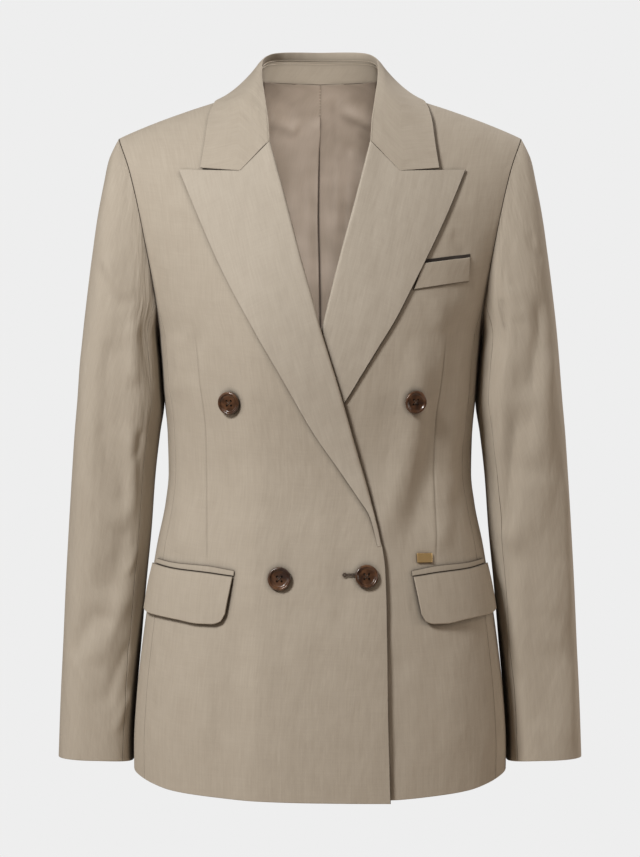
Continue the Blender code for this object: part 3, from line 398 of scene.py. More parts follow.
LAPEL_EDGE = [  # z, over_x, under_x: outer edge, break to peak
    (-453, 56.4, 56.4), (-421, 48.4, 46.0), (-403, 37.0, 36.0), (-373, 16.3, 19.0), (-343, -4.8, 1.0),
    (-307, -26.0, -26.5), (-285, -38.6, -40.0), (-255, -56.3, -58.5), (-230, -70.3, -73.8),
    (-200, -86.6, -89.2), (-171, -100.9, -103.6), (-128, -119.6, -124.0), (-81, -139.2, -143.6),
]
HEM = [  # angle, z: negative angles are past the centre
    (-20, -698), (0, -697), (18, -695.3), (33, -692.4), (50, -688.2), (61, -683.2), (75, -677), (90, -673),
    (120, -671.5), (150, -675), (180, -677),
]
BACK_NECK = [(61, 6.5), (40, 11), (20, 15), (0, NECK_BACK_Z)]  # x, z
OVERLAP_LIFT, CLIMB, OVERLAP_FADE = 5.4, (100.0, 58.0), (-120.0, -210.0)
UNDER_HEM_LIFT, HIDDEN_HEM = 5.0, (0.4, -0.2)
LAPEL_SEAT, GORGE_LIFT, GORGE_RAMP = 2.7, 2.6, (-230.0, -80.0)
LAPEL_PROUD = [  # z, over, under: how far a free edge stands off its seat, minus is closer
    (-450, 0.0, 0.0), (-330, 0.0, 0.0), (-230, 0.0, 0.3), (-200, -0.2, 0.3), (-170, -0.5, -0.3),
    (-140, -0.9, -1.2), (-81, -1.6, -2.9),
]
BREAK_RAMP = (BREAK_Z, -418.0)  # the lapel grows out of the front here
hem_z = smooth_curve(HEM, 1)
SIDES = {"left": 1, "right": -1}  # the wearer's left is +X
FRONT_OF = {1: 2, -1: 1}  # side: its column in the two tables of edges
FINE = 6
LOW_STEPS, FRONT_STEPS, SIDE_STEPS, BACK_STEPS = 14 * FINE, 8 * FINE, 6 * FINE, 8 * FINE


def hem_place(angle):
    """Angle and rise of the hem at an angle."""
    angle = np.asarray(angle, float)
    return np.stack([angle, hem_z(np.degrees(angle)) - UNDERARM_Z], axis=-1)


def shoulder_place(x, back):
    """Angle and rise of places on the shoulder ridge."""
    angle = angle_at(np.asarray(x) / RIDGE_WIDTH, back)
    return np.stack([angle, np.full(np.shape(angle), RISE)], axis=-1)


shoulder_front, shoulder_back = (shoulder_place(SHOULDER_X, back) for back in (False, True))
arm_front = armhole_stops(FRONT_SEAM_ANGLE, math.degrees(shoulder_front[0]), FRONT_STEPS)
arm_side = armhole_stops(FRONT_SEAM_ANGLE, BACK_SEAM_ANGLE, SIDE_STEPS)
arm_back = armhole_stops(BACK_SEAM_ANGLE, math.degrees(shoulder_back[0]), BACK_STEPS)
arm_front[-1], arm_back[-1] = shoulder_front, shoulder_back
armhole_length = sum(lengths_along(torso(*stops.T), 0)[-1] for stops in (arm_front, arm_side, arm_back))
print("armhole:", round(armhole_length), "mm round")

# %% [markdown]
# ## Turning a grid into cloth
# A seam is not a gap: two cloths turn down into it and leave a fine groove. An edge is not a knife
# either: it rolls over its own thickness. `shell` adds rows of points close to each border and sinks
# them on a quarter circle to the middle of the cloth, where face and back share their last row. The
# grain of the weave is kept as a UV map in metres.

# %% Patches
EDGE_STEPS = (0.15, 0.45, 1.0, 1.35)  # distances of the added rows from a border, in half thicknesses
PAINTED_BORDER_SHADE = (1.0, 0.9, 0.65, 0.35)  # painted shade of the rows next to a sewn border or a free edge
FINE_SEAM, GORGE_SEAM = 0.25, {-1: 0.2, 1: 0.0}  # painted shade in pressed seams, less than in the armhole's
FACE_ORDER, BACK_ORDER = (0, 1, 2, 3), (3, 2, 1, 0)
AHEAD = (0, -1, 0)


def coons(bottom, top, left, right):
    """A four-sided patch given by its sides, each an array of points."""
    bottom, top, left, right = (np.asarray(side, float) for side in (bottom, top, left, right))
    v = np.linspace(0, 1, len(left))[:, None, None]
    u = np.linspace(0, 1, len(bottom))[None, :, None]
    ruled = (1 - v) * bottom + v * top + (1 - u) * left[:, None] + u * right[:, None]
    corners = (1 - v) * ((1 - u) * bottom[0] + u * bottom[-1])
    return ruled - corners - v * ((1 - u) * top[0] + u * top[-1])


def straight(first, last, count):
    """`count` + 1 steps from one point to another."""
    return np.linspace(np.asarray(first, float), np.asarray(last, float), count + 1)


def grid_normals(points, ring=False):
    """Normals of a grid of points, from the directions of its rows and columns."""
    across = np.gradient(points, axis=1)
    if ring:
        across = np.roll(points, -1, axis=1) - np.roll(points, 1, axis=1)
    return unit(np.cross(across, np.gradient(points, axis=0)))


def edge_rows(points, thick):
    """Adds rows close to the first and last row; also gives each row's distance from its border."""
    near = [step * thick / 2 for step in EDGE_STEPS]

    def beside(border, inner):
        way = inner - border
        length = np.linalg.norm(way, axis=-1, keepdims=True)
        return [border + way / np.maximum(length, 1e-9) * np.minimum(step, length * 0.7) for step in near]

    last = beside(points[-1], points[-2])[::-1]
    rows = [points[0], *beside(points[0], points[1]), *points[1:-1], *last, points[-1]]
    return np.array(rows), np.array([0.0, *near, *[thick] * (len(points) - 2), *near[::-1], 0.0])


print("rows added beside a border:", len(EDGE_STEPS))


# %% Shells
pieces = {}


def finish_piece(name, mesh, looks, node=None):
    """Makes a mesh a piece of the jacket, in its material, in place of a node of the frame."""
    mesh.materials.append(looks)
    piece = put(name, mesh)
    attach(piece, "root")
    if node:
        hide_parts(node)
        pieces[node] = piece
    return piece


def add_values(mesh, grain, shade):
    """Stores the grain as a UV map and the painted shade of borders and creases as an attribute."""
    loop_verts = np.zeros(len(mesh.loops), np.int32)
    mesh.loops.foreach_get("vertex_index", loop_verts)
    layer = mesh.uv_layers.new(name="grain")
    layer.data.foreach_set("uv", grain[loop_verts].astype(np.float32).ravel())
    dark = mesh.attributes.new("painted_shade", "FLOAT", "POINT")
    dark.data.foreach_set("value", shade.astype(np.float32).ravel())


def with_back(front, rear):
    """All points of the front and, of the rear, those inside its border, which the front has."""
    width = front.shape[-1]
    return np.concatenate([front.reshape(-1, width), rear[1:-1, 1:-1].reshape(-1, width)])


def shell(
    node, face, thick, looks, hint, name=None, normals=None, sewn=None, crease=None, flush=None
):
    """A closed sheet: `face` is the grid of its outer side and `hint` the way its middle faces.

    `sewn` gives the painted shade beside its borders, sewn and free edges alike; three numbers are
    a step and the darkness before and after it. `crease` is painted shade inside it, along darts and
    pleats. A `flush` border, the first (0) or the last row (-1), does not turn down.
    """
    name = name or f"{node}_cloth"
    normals = grid_normals(face) if normals is None else normals
    middle = normals[face.shape[0] // 2, face.shape[1] // 2]
    normals = normals * (1.0 if np.dot(middle, hint) > 0 else -1.0)
    crease = np.zeros(face.shape[:2]) if crease is None else crease
    both = np.concatenate([face, normals, crease[..., None]], axis=-1)
    both, row_away = edge_rows(both, thick)
    both, column_away = edge_rows(both.transpose(1, 0, 2), thick)
    both = both.transpose(1, 0, 2)
    points, normals, shade = both[..., :3], unit(both[..., 3:6]), both[..., 6].copy()
    lines = {"first_row": shade, "last_row": shade[::-1]}
    lines |= {"first_column": shade.T, "last_column": shade[:, ::-1].T}
    # Painted shade beside the listed borders: the dark line of a groove, or of the shadow under an edge.
    for border, dark in (sewn or {}).items():
        split, before, after = dark if isinstance(dark, tuple) else (0, dark, dark)
        for line, share in zip(lines[border], PAINTED_BORDER_SHADE):
            along = np.where(np.arange(len(line)) < split + len(EDGE_STEPS), before, after)
            np.maximum(line, np.minimum(share * along, 1), out=line)
    half, ends = thick / 2, len(EDGE_STEPS) + 1
    if flush is not None:
        row_away[slice(0, ends) if flush == 0 else slice(-ends, None)] = half
    away = np.minimum(np.minimum(row_away[:, None], column_away[None, :]), half)[..., None]
    sunk = half - np.sqrt(np.maximum(half**2 - (half - away) ** 2, 0))
    verts = with_back(points - normals * sunk, points - normals * (thick - sunk)) * MM
    grain = np.stack([lengths_along(points, 1), lengths_along(points, 0)], axis=-1) * MM
    rows, columns = points.shape[:2]
    outer = np.arange(rows * columns).reshape(rows, columns)
    inner = outer.copy()
    inner[1:-1, 1:-1] = rows * columns + np.arange((rows - 2) * (columns - 2)).reshape(rows - 2, -1)
    faces = []
    for ids, order in ((outer, FACE_ORDER), (inner, BACK_ORDER)):
        corners = (ids[:-1, :-1], ids[:-1, 1:], ids[1:, 1:], ids[1:, :-1])
        faces.append(np.stack([corners[i].ravel() for i in order], axis=-1))
    faces = np.concatenate(faces)
    r, c = rows // 2, columns // 2
    rising = np.cross(points[r, c + 1] - points[r, c], points[r + 1, c] - points[r, c])
    if np.dot(rising, normals[r, c]) < 0:
        faces = faces[:, ::-1]
    mesh = bpy.data.meshes.new(name)
    mesh.from_pydata(verts.tolist(), [], faces.tolist())
    add_values(mesh, with_back(grain, grain), with_back(shade[..., None], shade[..., None]))
    mesh.shade_smooth()
    return finish_piece(name, mesh, looks, node)


print("darkness beside a sewn border:", PAINTED_BORDER_SHADE)

# %% [markdown]
# ## Wool
# The cloth is a fine plain-weave wool suiting of about 0.35 mm a thread, too fine for the picture. What
# the eye sees of it at this distance is slubs, the thicker stretches of yarn, about 1.5 mm wide and
# 30 mm long up the warp and across the weft. Raised fibre gives a soft sheen and a dry, rough surface.
# The weave is a bump of 0.7 mm, twice the real thread, the finest that shows.

# %% Wool suiting
THREAD_SHOWN, WEAVE_DEPTH = 0.7 * MM, 0.12 * MM
SLUB_WIDTH, SLUB_LENGTH = 1.6 * MM, 34 * MM
MOTTLE = 22 * MM
RUMPLE_WIDTH, RUMPLE_LENGTH, RUMPLE_HEIGHT = 20 * MM, 46 * MM, 1.6 * MM
# Colours of the painted shade: in grooves, along edges and creases, and where cloth lies close on cloth.
PAINTED_SHADE_TONE, LINING_PAINTED_SHADE_TONE = "#35291e", "#33231a"
CONTACT_REACH, CONTACT_DARK = 6 * MM, 1.0  # painted shade where cloth lies close on cloth, from ambient occlusion within this reach
RGBA = {"data_type": "RGBA"}
HALF_ADDED = {"operation": "MULTIPLY_ADD", 1: 0.5}
FINE_NOISE = {"Scale": 1.0, "Detail": 2.0}


def wool(name, light_code, dark_code, seed):
    """Plain-weave wool suiting between two tones, with painted shade beside borders and creases and where
    cloth lies close on cloth.
    """
    dry = {"Roughness": 0.88, "Sheen Weight": 0.16, "Sheen Roughness": 0.45, "Sheen Tint": linear("#efe6d8")}
    made, tree, shader = material(name, dry)
    grain = add_node(tree, "UVMap", {"uv_map": "grain"})
    slubs = []
    for scale in ((1 / SLUB_WIDTH, 1 / SLUB_LENGTH, 1), (1 / SLUB_LENGTH, 1 / SLUB_WIDTH, 1)):
        way = add_node(tree, "Mapping", {"Scale": scale, "Location": (seed, seed * 1.7, 0)}, Vector=grain)
        slubs.append(add_node(tree, "TexNoise", {"Scale": 1.0, "Detail": 3.0, "Roughness": 0.6}, Vector=way))
    mottle = add_node(tree, "TexNoise", {"Scale": 1 / MOTTLE, "Detail": 2.0}, Vector=grain)
    woven = add_node(tree, "Math", HALF_ADDED, i0=slubs[1], i2=slubs[0])
    toned = add_node(tree, "Math", HALF_ADDED, i0=mottle, i2=woven)
    level = add_node(tree, "MapRange", {"From Min": 0.65, "From Max": 1.35}, Value=toned)
    tone = add_node(tree, "Mix", {**RGBA, 6: linear(dark_code), 7: linear(light_code)}, i0=level)
    # Painted shade: the attribute darkens grooves, edges and creases, and ambient occlusion darkens cloth
    # lying close on cloth.
    painted_shade = add_node(tree, "Attribute", {"attribute_name": "painted_shade"})
    open_air = add_node(tree, "AmbientOcclusion", {"samples": 4, "Distance": CONTACT_REACH})
    closeness = {"From Min": 0.4, "From Max": 0.88, "To Min": CONTACT_DARK, "To Max": 0.0}
    shut_in = add_node(tree, "MapRange", closeness, Value=open_air.outputs["AO"])
    deep = add_node(tree, "Math", {"operation": "MAXIMUM"}, i0=painted_shade.outputs["Fac"], i1=shut_in)
    shaded_tone = add_node(tree, "Mix", {**RGBA, 7: linear(PAINTED_SHADE_TONE)}, i0=deep, i6=tone.outputs[2])
    pitch = add_node(tree, "Mapping", {"Scale": [math.pi / THREAD_SHOWN] * 3}, Vector=grain)
    split = add_node(tree, "SeparateXYZ", Vector=pitch)
    warp, weft = (add_node(tree, "Math", {"operation": "SINE"}, i0=way) for way in split.outputs[:2])
    crossing = add_node(tree, "Math", {"operation": "MULTIPLY"}, i0=warp, i1=weft)
    relief = add_node(tree, "Math", {"operation": "MULTIPLY_ADD", 1: 0.25}, i0=crossing, i2=woven)
    bump = add_node(tree, "Bump", {"Strength": 0.5, "Distance": WEAVE_DEPTH}, Height=relief)
    hanging = {"Scale": (1 / RUMPLE_WIDTH, 1 / RUMPLE_LENGTH, 1), "Location": (seed, seed, 0)}
    rumple = add_node(tree, "TexNoise", FINE_NOISE, Vector=add_node(tree, "Mapping", hanging, Vector=grain))
    soft = add_node(tree, "Bump", {"Strength": 1.0, "Distance": RUMPLE_HEIGHT}, Height=rumple, Normal=bump)
    join(tree, shader, Base_Color=shaded_tone.outputs[2], Normal=soft)
    return made


wool_suiting = wool("wool_suiting", "#b9afa0", "#ada293", 0.0)
wool_facing = wool("wool_facing", "#bdb4a6", "#b2a89a", 7.0)
print("wool:", wool_suiting.name, wool_facing.name)

# %% [markdown]
# ## Satin, horn, brass and thread
# - The lining is a viscose satin: long floats of smooth yarn give broad soft lights, pinkish taupe.
# - The buttons are horn-effect polyester, cast and polished: dark brown with amber and olive clouds.
# - The little bar is polished brass, a metal whose colour is its reflection.
# - Sewing thread is twisted polyester; the twist shows as slanted ribs a third of a millimetre wide.

# %% Satin, horn, brass and thread
FLOAT_WIDTH, FLOAT_LENGTH, SATIN_CLOUD = 0.9 * MM, 18 * MM, 34 * MM
HORN_TONES = [(0.30, "#34221a"), (0.45, "#49301f"), (0.58, "#5c3e2a"), (0.72, "#755238"), (0.85, "#5d4a36")]
THREAD_TWIST = 0.33 * MM


def satin(name, light_code, dark_code):
    made, tree, shader = material(name, {"Roughness": 0.58, "Sheen Weight": 0.1})
    grain = add_node(tree, "UVMap", {"uv_map": "grain"})
    floats = add_node(tree, "Mapping", {"Scale": (1 / FLOAT_WIDTH, 1 / FLOAT_LENGTH, 1)}, Vector=grain)
    yarn = add_node(tree, "TexNoise", FINE_NOISE, Vector=floats)
    cloud = add_node(tree, "TexNoise", {"Scale": 1 / SATIN_CLOUD, "Detail": 1.5}, Vector=grain)
    mixed = add_node(tree, "Math", {"operation": "MULTIPLY_ADD", 1: 0.22}, i0=yarn, i2=cloud)
    level = add_node(tree, "MapRange", {"From Min": 0.4, "From Max": 0.8}, Value=mixed)
    tone = add_node(tree, "Mix", {**RGBA, 6: linear(dark_code), 7: linear(light_code)}, i0=level)
    # The attribute paints shade here: the dark line beside the pleat's fold.
    painted_shade = add_node(tree, "Attribute", {"attribute_name": "painted_shade"}).outputs["Fac"]
    deep = add_node(tree, "Mix", {**RGBA, 7: linear(LINING_PAINTED_SHADE_TONE)}, i0=painted_shade, i6=tone.outputs[2])
    bump = add_node(tree, "Bump", {"Strength": 0.3, "Distance": 0.04 * MM}, Height=yarn)
    join(tree, shader, Base_Color=deep.outputs[2], Normal=bump)
    return made


def horn(name):
    polished = {"Roughness": 0.28, "IOR": 1.54, "Coat Weight": 0.25, "Coat Roughness": 0.12}
    made, tree, shader = material(name, polished)
    place_on = add_node(tree, "TexCoord").outputs["Object"]
    swirl = add_node(tree, "TexNoise", {"Scale": 85.0, "Detail": 2.0, "Distortion": 0.8}, Vector=place_on)
    ramped = add_node(tree, "ValToRGB", Fac=swirl)
    band = ramped.color_ramp.elements
    for end in (0, -1):
        band[end].position, band[end].color = HORN_TONES[end][0], linear(HORN_TONES[end][1])
    for spot, code in HORN_TONES[1:-1]:
        band.new(spot).color = linear(code)
    join(tree, shader, Base_Color=ramped)
    return made


def brass(name):
    made, tree, shader = material(name, {"Metallic": 1.0, "Roughness": 0.42})
    place_on = add_node(tree, "TexCoord").outputs["Object"]
    lines = add_node(tree, "Mapping", {"Scale": (200, 200, 4000)}, Vector=place_on)
    polish = add_node(tree, "TexNoise", FINE_NOISE, Vector=lines)
    tone = add_node(tree, "Mix", {**RGBA, 6: linear("#f0cd8c"), 7: linear("#ffe2ac")}, i0=polish)
    bump = add_node(tree, "Bump", {"Strength": 0.25, "Distance": 0.03 * MM}, Height=polish)
    join(tree, shader, Base_Color=tone.outputs[2], Normal=bump)
    return made


def thread(name, light_code, dark_code):
    made, tree, shader = material(name, {"Roughness": 0.6, "Sheen Weight": 0.2})
    place_on = add_node(tree, "TexCoord").outputs["Object"]
    slanted = {"bands_direction": "DIAGONAL", "Scale": 1 / (2 * math.pi * THREAD_TWIST) / 3}
    twist = add_node(tree, "TexWave", slanted, Vector=place_on)
    tone = add_node(tree, "Mix", {**RGBA, 6: linear(dark_code), 7: linear(light_code)}, i0=twist)
    join(tree, shader, Base_Color=tone.outputs[2])
    return made


viscose_satin = satin("viscose_satin", "#c6b8ab", "#aea092")
# A near-black copy of the satin is painted shade for the inside of the chest pocket's mouth.
pocket_shade = satin("pocket_mouth_painted_shade", "#2a1f18", "#1d1510")
horn_resin = horn("horn_effect_resin")
polished_brass = brass("polished_brass")
taupe_thread = thread("taupe_thread", "#f3ebde", "#d9cebc")
brown_thread = thread("brown_thread", "#5a4432", "#33251a")
print("materials:", len(bpy.data.materials))

# %% [markdown]
# ## Folds
# Cloth that hangs from the shoulders is never even. Each row below is one soft trough or ridge: where
# it starts, bends and ends, how wide it is and how high. They follow the pull of the cloth: down from
# the bust, out from the elbow, and round from the closed button.

# %% Tables of folds
BODY_FOLDS = {  # side and face: x z at start, bend and end, half width, height
    (1, "front"): [
        (98, -246, 90, -345, 60, -448, 15, 4.4), (120, -290, 108, -372, 86, -452, 13, -3.2),
        (132, -376, 126, -415, 117, -455, 9, 2.0), (145, -337, 140, -385, 128, -424, 9, -1.8),
        (130, -143, 136, -156, 142, -170, 6, -1.3), (114, -211, 116, -227, 119, -240, 8, 1.4),
        (138, -211, 134, -255, 128, -308, 12, -2.0), (78, -540, 76, -599, 78, -666, 13, -1.2),
        (131, -540, 133, -599, 134, -657, 13, 1.2),
    ],
    (-1, "front"): [
        (138, -240, 141, -269, 143, -308, 10, 1.6), (120, -240, 123, -261, 125, -292, 7, -1.4),
        (130, -405, 132, -434, 134, -463, 10, 1.4), (76, -511, 78, -579, 78, -647, 13, -1.6),
        (111, -540, 113, -599, 116, -657, 13, 1.2), (19, -376, 23, -463, 19, -540, 22, -1.4),
    ],
    (1, "back"): [
        (52, -292, 76, -345, 104, -392, 15, -2.8), (118, -150, 108, -200, 104, -262, 15, 2.4),
        (70, -395, 96, -432, 124, -455, 10, 1.8), (60, -520, 64, -590, 62, -655, 15, -1.6),
    ],
    (-1, "back"): [
        (48, -305, 70, -362, 101, -420, 14, -3.0), (121, -140, 112, -205, 106, -250, 14, 2.2),
        (66, -402, 88, -446, 118, -482, 11, 1.9), (84, -505, 80, -575, 86, -650, 14, -1.4),
    ],
}
SLEEVE_FOLDS = {  # side: turn z at start, bend and end, half width, height
    1: [
        (57, -201, 77, -263, 88, -312, 9, -3.2), (87, -307, 104, -362, 130, -444, 9, -3.2),
        (48, -253, 64, -307, 85, -377, 12, 2.6), (80, -377, 93, -426, 120, -458, 12, 2.4),
        (93, -194, 90, -209, 89, -230, 7, 1.6), (105, -209, 104, -220, 108, -238, 5, -1.2),
        (104, -248, 106, -307, 126, -377, 10, 2.0), (68, -141, 62, -159, 46, -171, 6, -1.2),
        (72, -545, 84, -594, 99, -638, 14, -1.8), (97, -465, 113, -525, 127, -584, 14, 1.6),
        (53, -465, 63, -495, 80, -523, 12, 1.2), (36, -375, 42, -450, 47, -540, 11, 2.2),
        (45, -560, 50, -610, 52, -650, 12, 1.4), (-60, -270, -92, -330, -118, -405, 12, -3.2),
        (-70, -400, -95, -450, -120, -480, 11, 2.6), (-88, -170, -80, -205, -62, -236, 9, 1.8),
        (-96, -505, -84, -548, -62, -590, 12, -2.0),
    ],
    -1: [
        (48, -171, 67, -194, 93, -220, 7, -1.4), (60, -165, 78, -185, 98, -209, 6, 1.3),
        (107, -226, 106, -258, 102, -295, 8, 2.6), (85, -243, 82, -288, 82, -347, 10, -2.4),
        (77, -327, 90, -367, 108, -421, 9, -3.0), (104, -327, 112, -377, 116, -426, 7, 2.2),
        (106, -426, 104, -461, 93, -505, 11, -2.8), (119, -495, 101, -530, 82, -572, 10, 2.6),
        (97, -513, 73, -539, 48, -566, 12, -2.8), (134, -545, 112, -576, 94, -616, 8, -1.8),
        (151, -594, 127, -616, 111, -639, 7, 1.4), (30, -238, 40, -327, 55, -426, 16, 1.6),
        (119, -337, 119, -352, 111, -369, 5, -1.2), (131, -451, 125, -467, 114, -481, 5, 1.2),
        (-52, -290, -84, -352, -112, -420, 12, -3.4), (-64, -410, -90, -462, -116, -498, 11, 2.4),
        (-92, -182, -82, -214, -66, -240, 9, 1.7), (-92, -515, -80, -560, -60, -598, 12, -2.1),
    ],
}
FOLD_STRENGTH = 1.25
SLEEVE_RADIUS = 45.0  # turns of the sleeve become millimetres round it by this
DARTS = {  # side: rows of z, x of the front dart, from the bust down to the pocket
    -1: [(-245, 123.0), (-276, 119.5), (-341, 111.5), (-401, 110.6), (-466, 110.0)],
    1: [(-247, 124.0), (-274, 121.0), (-305, 117.5), (-341, 114.5), (-401, 113.0), (-464, 113.5)],
}
# DART_SHADE is painted shade along each dart's groove.
DART_WIDTH, DART_DEPTH, DART_SHADE = 1.1, 0.55, {-1: 0.25, 1: 0.4}
dart_x = {side: smooth_curve(rows, 1) for side, rows in DARTS.items()}
print("folds of the body:", sum(len(rows) for rows in BODY_FOLDS.values()))


# %% Heights of folds
def fold_height(rows, u, z):
    """Height of all folds at arrays of u, z."""
    height = np.zeros(np.shape(u))
    for u_1, z_1, u_2, z_2, u_3, z_3, width, depth in rows:
        legs = [((u_1, z_1), (u_2, z_2)), ((u_2, z_2), (u_3, z_3))]
        whole = sum(math.dist(a, b) for a, b in legs)
        nearest, reached, done = np.full(np.shape(u), 1e9), np.zeros(np.shape(u)), 0.0
        for a, b in legs:
            length = math.dist(a, b)
            t = ((u - a[0]) * (b[0] - a[0]) + (z - a[1]) * (b[1] - a[1])) / length**2
            t = np.clip(t, 0, 1)
            away = np.hypot(u - a[0] - (b[0] - a[0]) * t, z - a[1] - (b[1] - a[1]) * t)
            closer = away < nearest
            nearest = np.where(closer, away, nearest)
            reached = np.where(closer, (done + t * length) / whole, reached)
            done += length
        fade = ramp(reached * 4 + 0.15, 0, 1) * ramp((1 - reached) * 4 + 0.15, 0, 1)
        height += FOLD_STRENGTH * depth * fade * bell(nearest, width)
    return height


def body_height(side, angle, rise):
    """Height of the body's folds."""
    x, _, z = np.moveaxis(torso(angle, rise), -1, 0)
    front, back = (fold_height(BODY_FOLDS[side, face], np.abs(x), z) for face in ("front", "back"))
    return np.where(np.cos(angle) >= 0, front, back)


def dart_values(side, x, z):
    """Height of a dart's sewn crease, a fine groove with the cloth full at both sides, and the painted shade
    along it.
    """
    top, end = DARTS[side][0][0], DARTS[side][-1][0]
    fade = ramp(z, top + 4, top - 22) * ramp(z, end - 2, end + 14)
    away = np.abs(x - dart_x[side](z))
    groove = 0.5 * bell(away, 7) - DART_DEPTH * bell(away, DART_WIDTH)
    return fade * groove, DART_SHADE[side] * fade * bell(away, 0.5)


print("folds:", sum(map(len, [*BODY_FOLDS.values(), *SLEEVE_FOLDS.values()])))

# %% [markdown]
# ## The fronts
# Each front runs from the side seam to its edge and up to the shoulder. It could be one flat plane
# bent by a simulation; here it is a patch whose four sides are the hem, the side seam with the
# armhole, the shoulder and the front edge. A dart is a sewn fold that takes in the waist: the
# columns of the patch are moved so that one of them runs right along it, with close neighbours, or
# the crease would fall between two columns and vanish. The right front climbs over the left.

# %% Fronts
BODY_CLOTH = 1.4
FRONT_COLUMNS = 60
EDGE_TUCK = 2.5  # under the lapel the front stops this far inside the roll line
DART_NEIGHBOURS = (-3.2, -1.9, -1.0, -0.45, 0.45, 1.0, 1.9, 3.2)


def front_layer(side, point):
    """How far a front lies off the form: the right front climbs over the left."""
    if side == 1:
        return np.zeros(point.shape[:-1])
    return OVERLAP_LIFT * ramp(point[..., 0], *CLIMB) * ramp(point[..., 2], *OVERLAP_FADE)


def follow_line(grid, line_x):
    """Moves the columns of a patch so that one follows a line, and adds close neighbours to it."""
    points = torso(grid[..., 0], grid[..., 1])
    rows, columns = grid.shape[:2]
    ids = np.arange(columns)
    spots = [columns // 3] * rows
    for _ in range(2):
        spots = [np.interp(-line_x(p[int(s), 2]), -p[:, 0], ids) for p, s in zip(points, spots)]
    base = int(round(np.mean(spots)))
    pitch = np.linalg.norm(points[rows // 2, base + 1] - points[rows // 2, base])
    near = [base + d / pitch for d in DART_NEIGHBOURS]
    wanted = np.array(sorted([c for c in ids if abs(c - base) > 4 / pitch or c == base] + near))
    made = np.zeros((rows, len(wanted), 2))
    for r, spot in enumerate(spots):
        beyond = spot + (wanted - base) * (columns - 1 - spot) / (columns - 1 - base)
        moved = np.where(wanted <= base, wanted * spot / base, beyond)
        made[r] = np.stack([np.interp(moved, ids, grid[r, :, k]) for k in (0, 1)], axis=-1)
    return made


def front_sheet(side):
    """The face of a front and the painted shade along its dart."""
    reach = smooth_curve(FRONT_EDGE, FRONT_OF[side])
    left = np.vstack([straight(hem_place(FRONT_SEAM_HEM), arm_front[0], LOW_STEPS)[:-1], arm_front])
    lift = UNDER_HEM_LIFT if side == 1 else 0.0
    heights = np.linspace(FRONT_EDGE[0][0] + lift, CHEST_Z, LOW_STEPS + 1)
    high = np.linspace(CHEST_Z, FRONT_EDGE[-1][0], FRONT_STEPS - 2 * FINE + 1)
    heights = np.concatenate([heights, high[1:]])
    tuck = EDGE_TUCK * ramp(heights, BREAK_Z - 2, BREAK_Z + 16)
    edge = np.stack(place(tuck - reach(heights), heights), axis=-1)
    neck = np.stack([place(*NECK_BEND), shoulder_place(NECK_X, False)])
    right = np.vstack([edge, straight(edge[-1], neck[0], FINE)[1:], straight(*neck, FINE)[1:]])
    bottom = hem_place(np.linspace(FRONT_SEAM_HEM, right[0][0], FRONT_COLUMNS + 1))
    bottom[:, 1] += lift * ramp(bottom[:, 0], *HIDDEN_HEM)
    bottom[-1] = right[0]
    top = shoulder_place(np.linspace(SHOULDER_X, NECK_X, FRONT_COLUMNS + 1), False)
    grid = follow_line(coons(bottom, top, left, right), dart_x[side])
    angle, rise = grid[..., 0], grid[..., 1]
    point = torso(angle, rise)
    dart, crease = dart_values(side, point[..., 0], point[..., 2])
    out = front_layer(side, point) + body_height(side, angle, rise) + dart
    return off_form(angle, rise, out, side), crease


FRONTS = {"front_right_over": -1, "front_left_under": 1}
# Painted shade in the grooves of the side seam, armhole and shoulder, and along the front edge for the
# shadow it casts.
for node, side in FRONTS.items():
    face, crease = front_sheet(side)
    seams = {"first_column": (LOW_STEPS, FINE_SEAM, 1.0), "last_row": FINE_SEAM, "last_column": 1.2}
    shell(node, face, BODY_CLOTH, wool_suiting, AHEAD, sewn=seams, crease=crease)
    print(node, len(pieces[node].data.polygons), "faces")

# %% [markdown]
# ## Side bodies and back
# A side body takes the place of a side seam, so that the waist is shaped in two lines instead of one.
# The back is two halves with a centre seam. They share the very stops of the fronts and the armhole,
# so each seam is one line, and both cloths turn down into it.


# %% Side bodies and backs
def on_form(grid, side):
    """Points of a patch on the body form, with its folds."""
    angle, rise = grid[..., 0], grid[..., 1]
    return off_form(angle, rise, body_height(side, angle, rise), side)


def side_sheet(side):
    left = straight(hem_place(FRONT_SEAM_HEM), arm_side[0], LOW_STEPS)
    right = straight(hem_place(BACK_SEAM_HEM), arm_side[-1], LOW_STEPS)
    bottom = hem_place(np.linspace(FRONT_SEAM_HEM, BACK_SEAM_HEM, SIDE_STEPS + 1))
    return on_form(coons(bottom, arm_side, left, right), side)


def back_sheet(side):
    left = np.vstack([straight(hem_place(BACK_SEAM_HEM), arm_back[0], LOW_STEPS)[:-1], arm_back])
    right = straight(hem_place(math.pi), np.stack(place(0.0, NECK_BACK_Z, back=True)), len(left) - 1)
    top = shoulder_place(np.linspace(SHOULDER_X, NECK_X, 5 * FINE + 1), True)
    neck_x = np.linspace(BACK_NECK[0][0], 0, 4 * FINE)
    neck = place(neck_x, smooth_curve(BACK_NECK, 1)(neck_x), back=True)
    top = np.vstack([top, np.stack(neck, axis=-1)])
    return on_form(coons(hem_place(np.linspace(BACK_SEAM_HEM, math.pi, len(top))), top, left, right), side)


# Painted shade in the grooves of the armholes and of the seams of both panels.
for tag, side in SIDES.items():
    seams = {"last_row": 1.0, "first_column": FINE_SEAM, "last_column": FINE_SEAM}
    shell(f"side_body_{tag}", side_sheet(side), BODY_CLOTH, wool_suiting, (side, 0, 0), sewn=seams)
    seams = {**seams, "last_row": FINE_SEAM, "first_column": (LOW_STEPS, FINE_SEAM, 1.0)}
    shell(f"back_{tag}", back_sheet(side), BODY_CLOTH, wool_suiting, (0, 1, 0), sewn=seams)
print("body panels:", len(pieces))

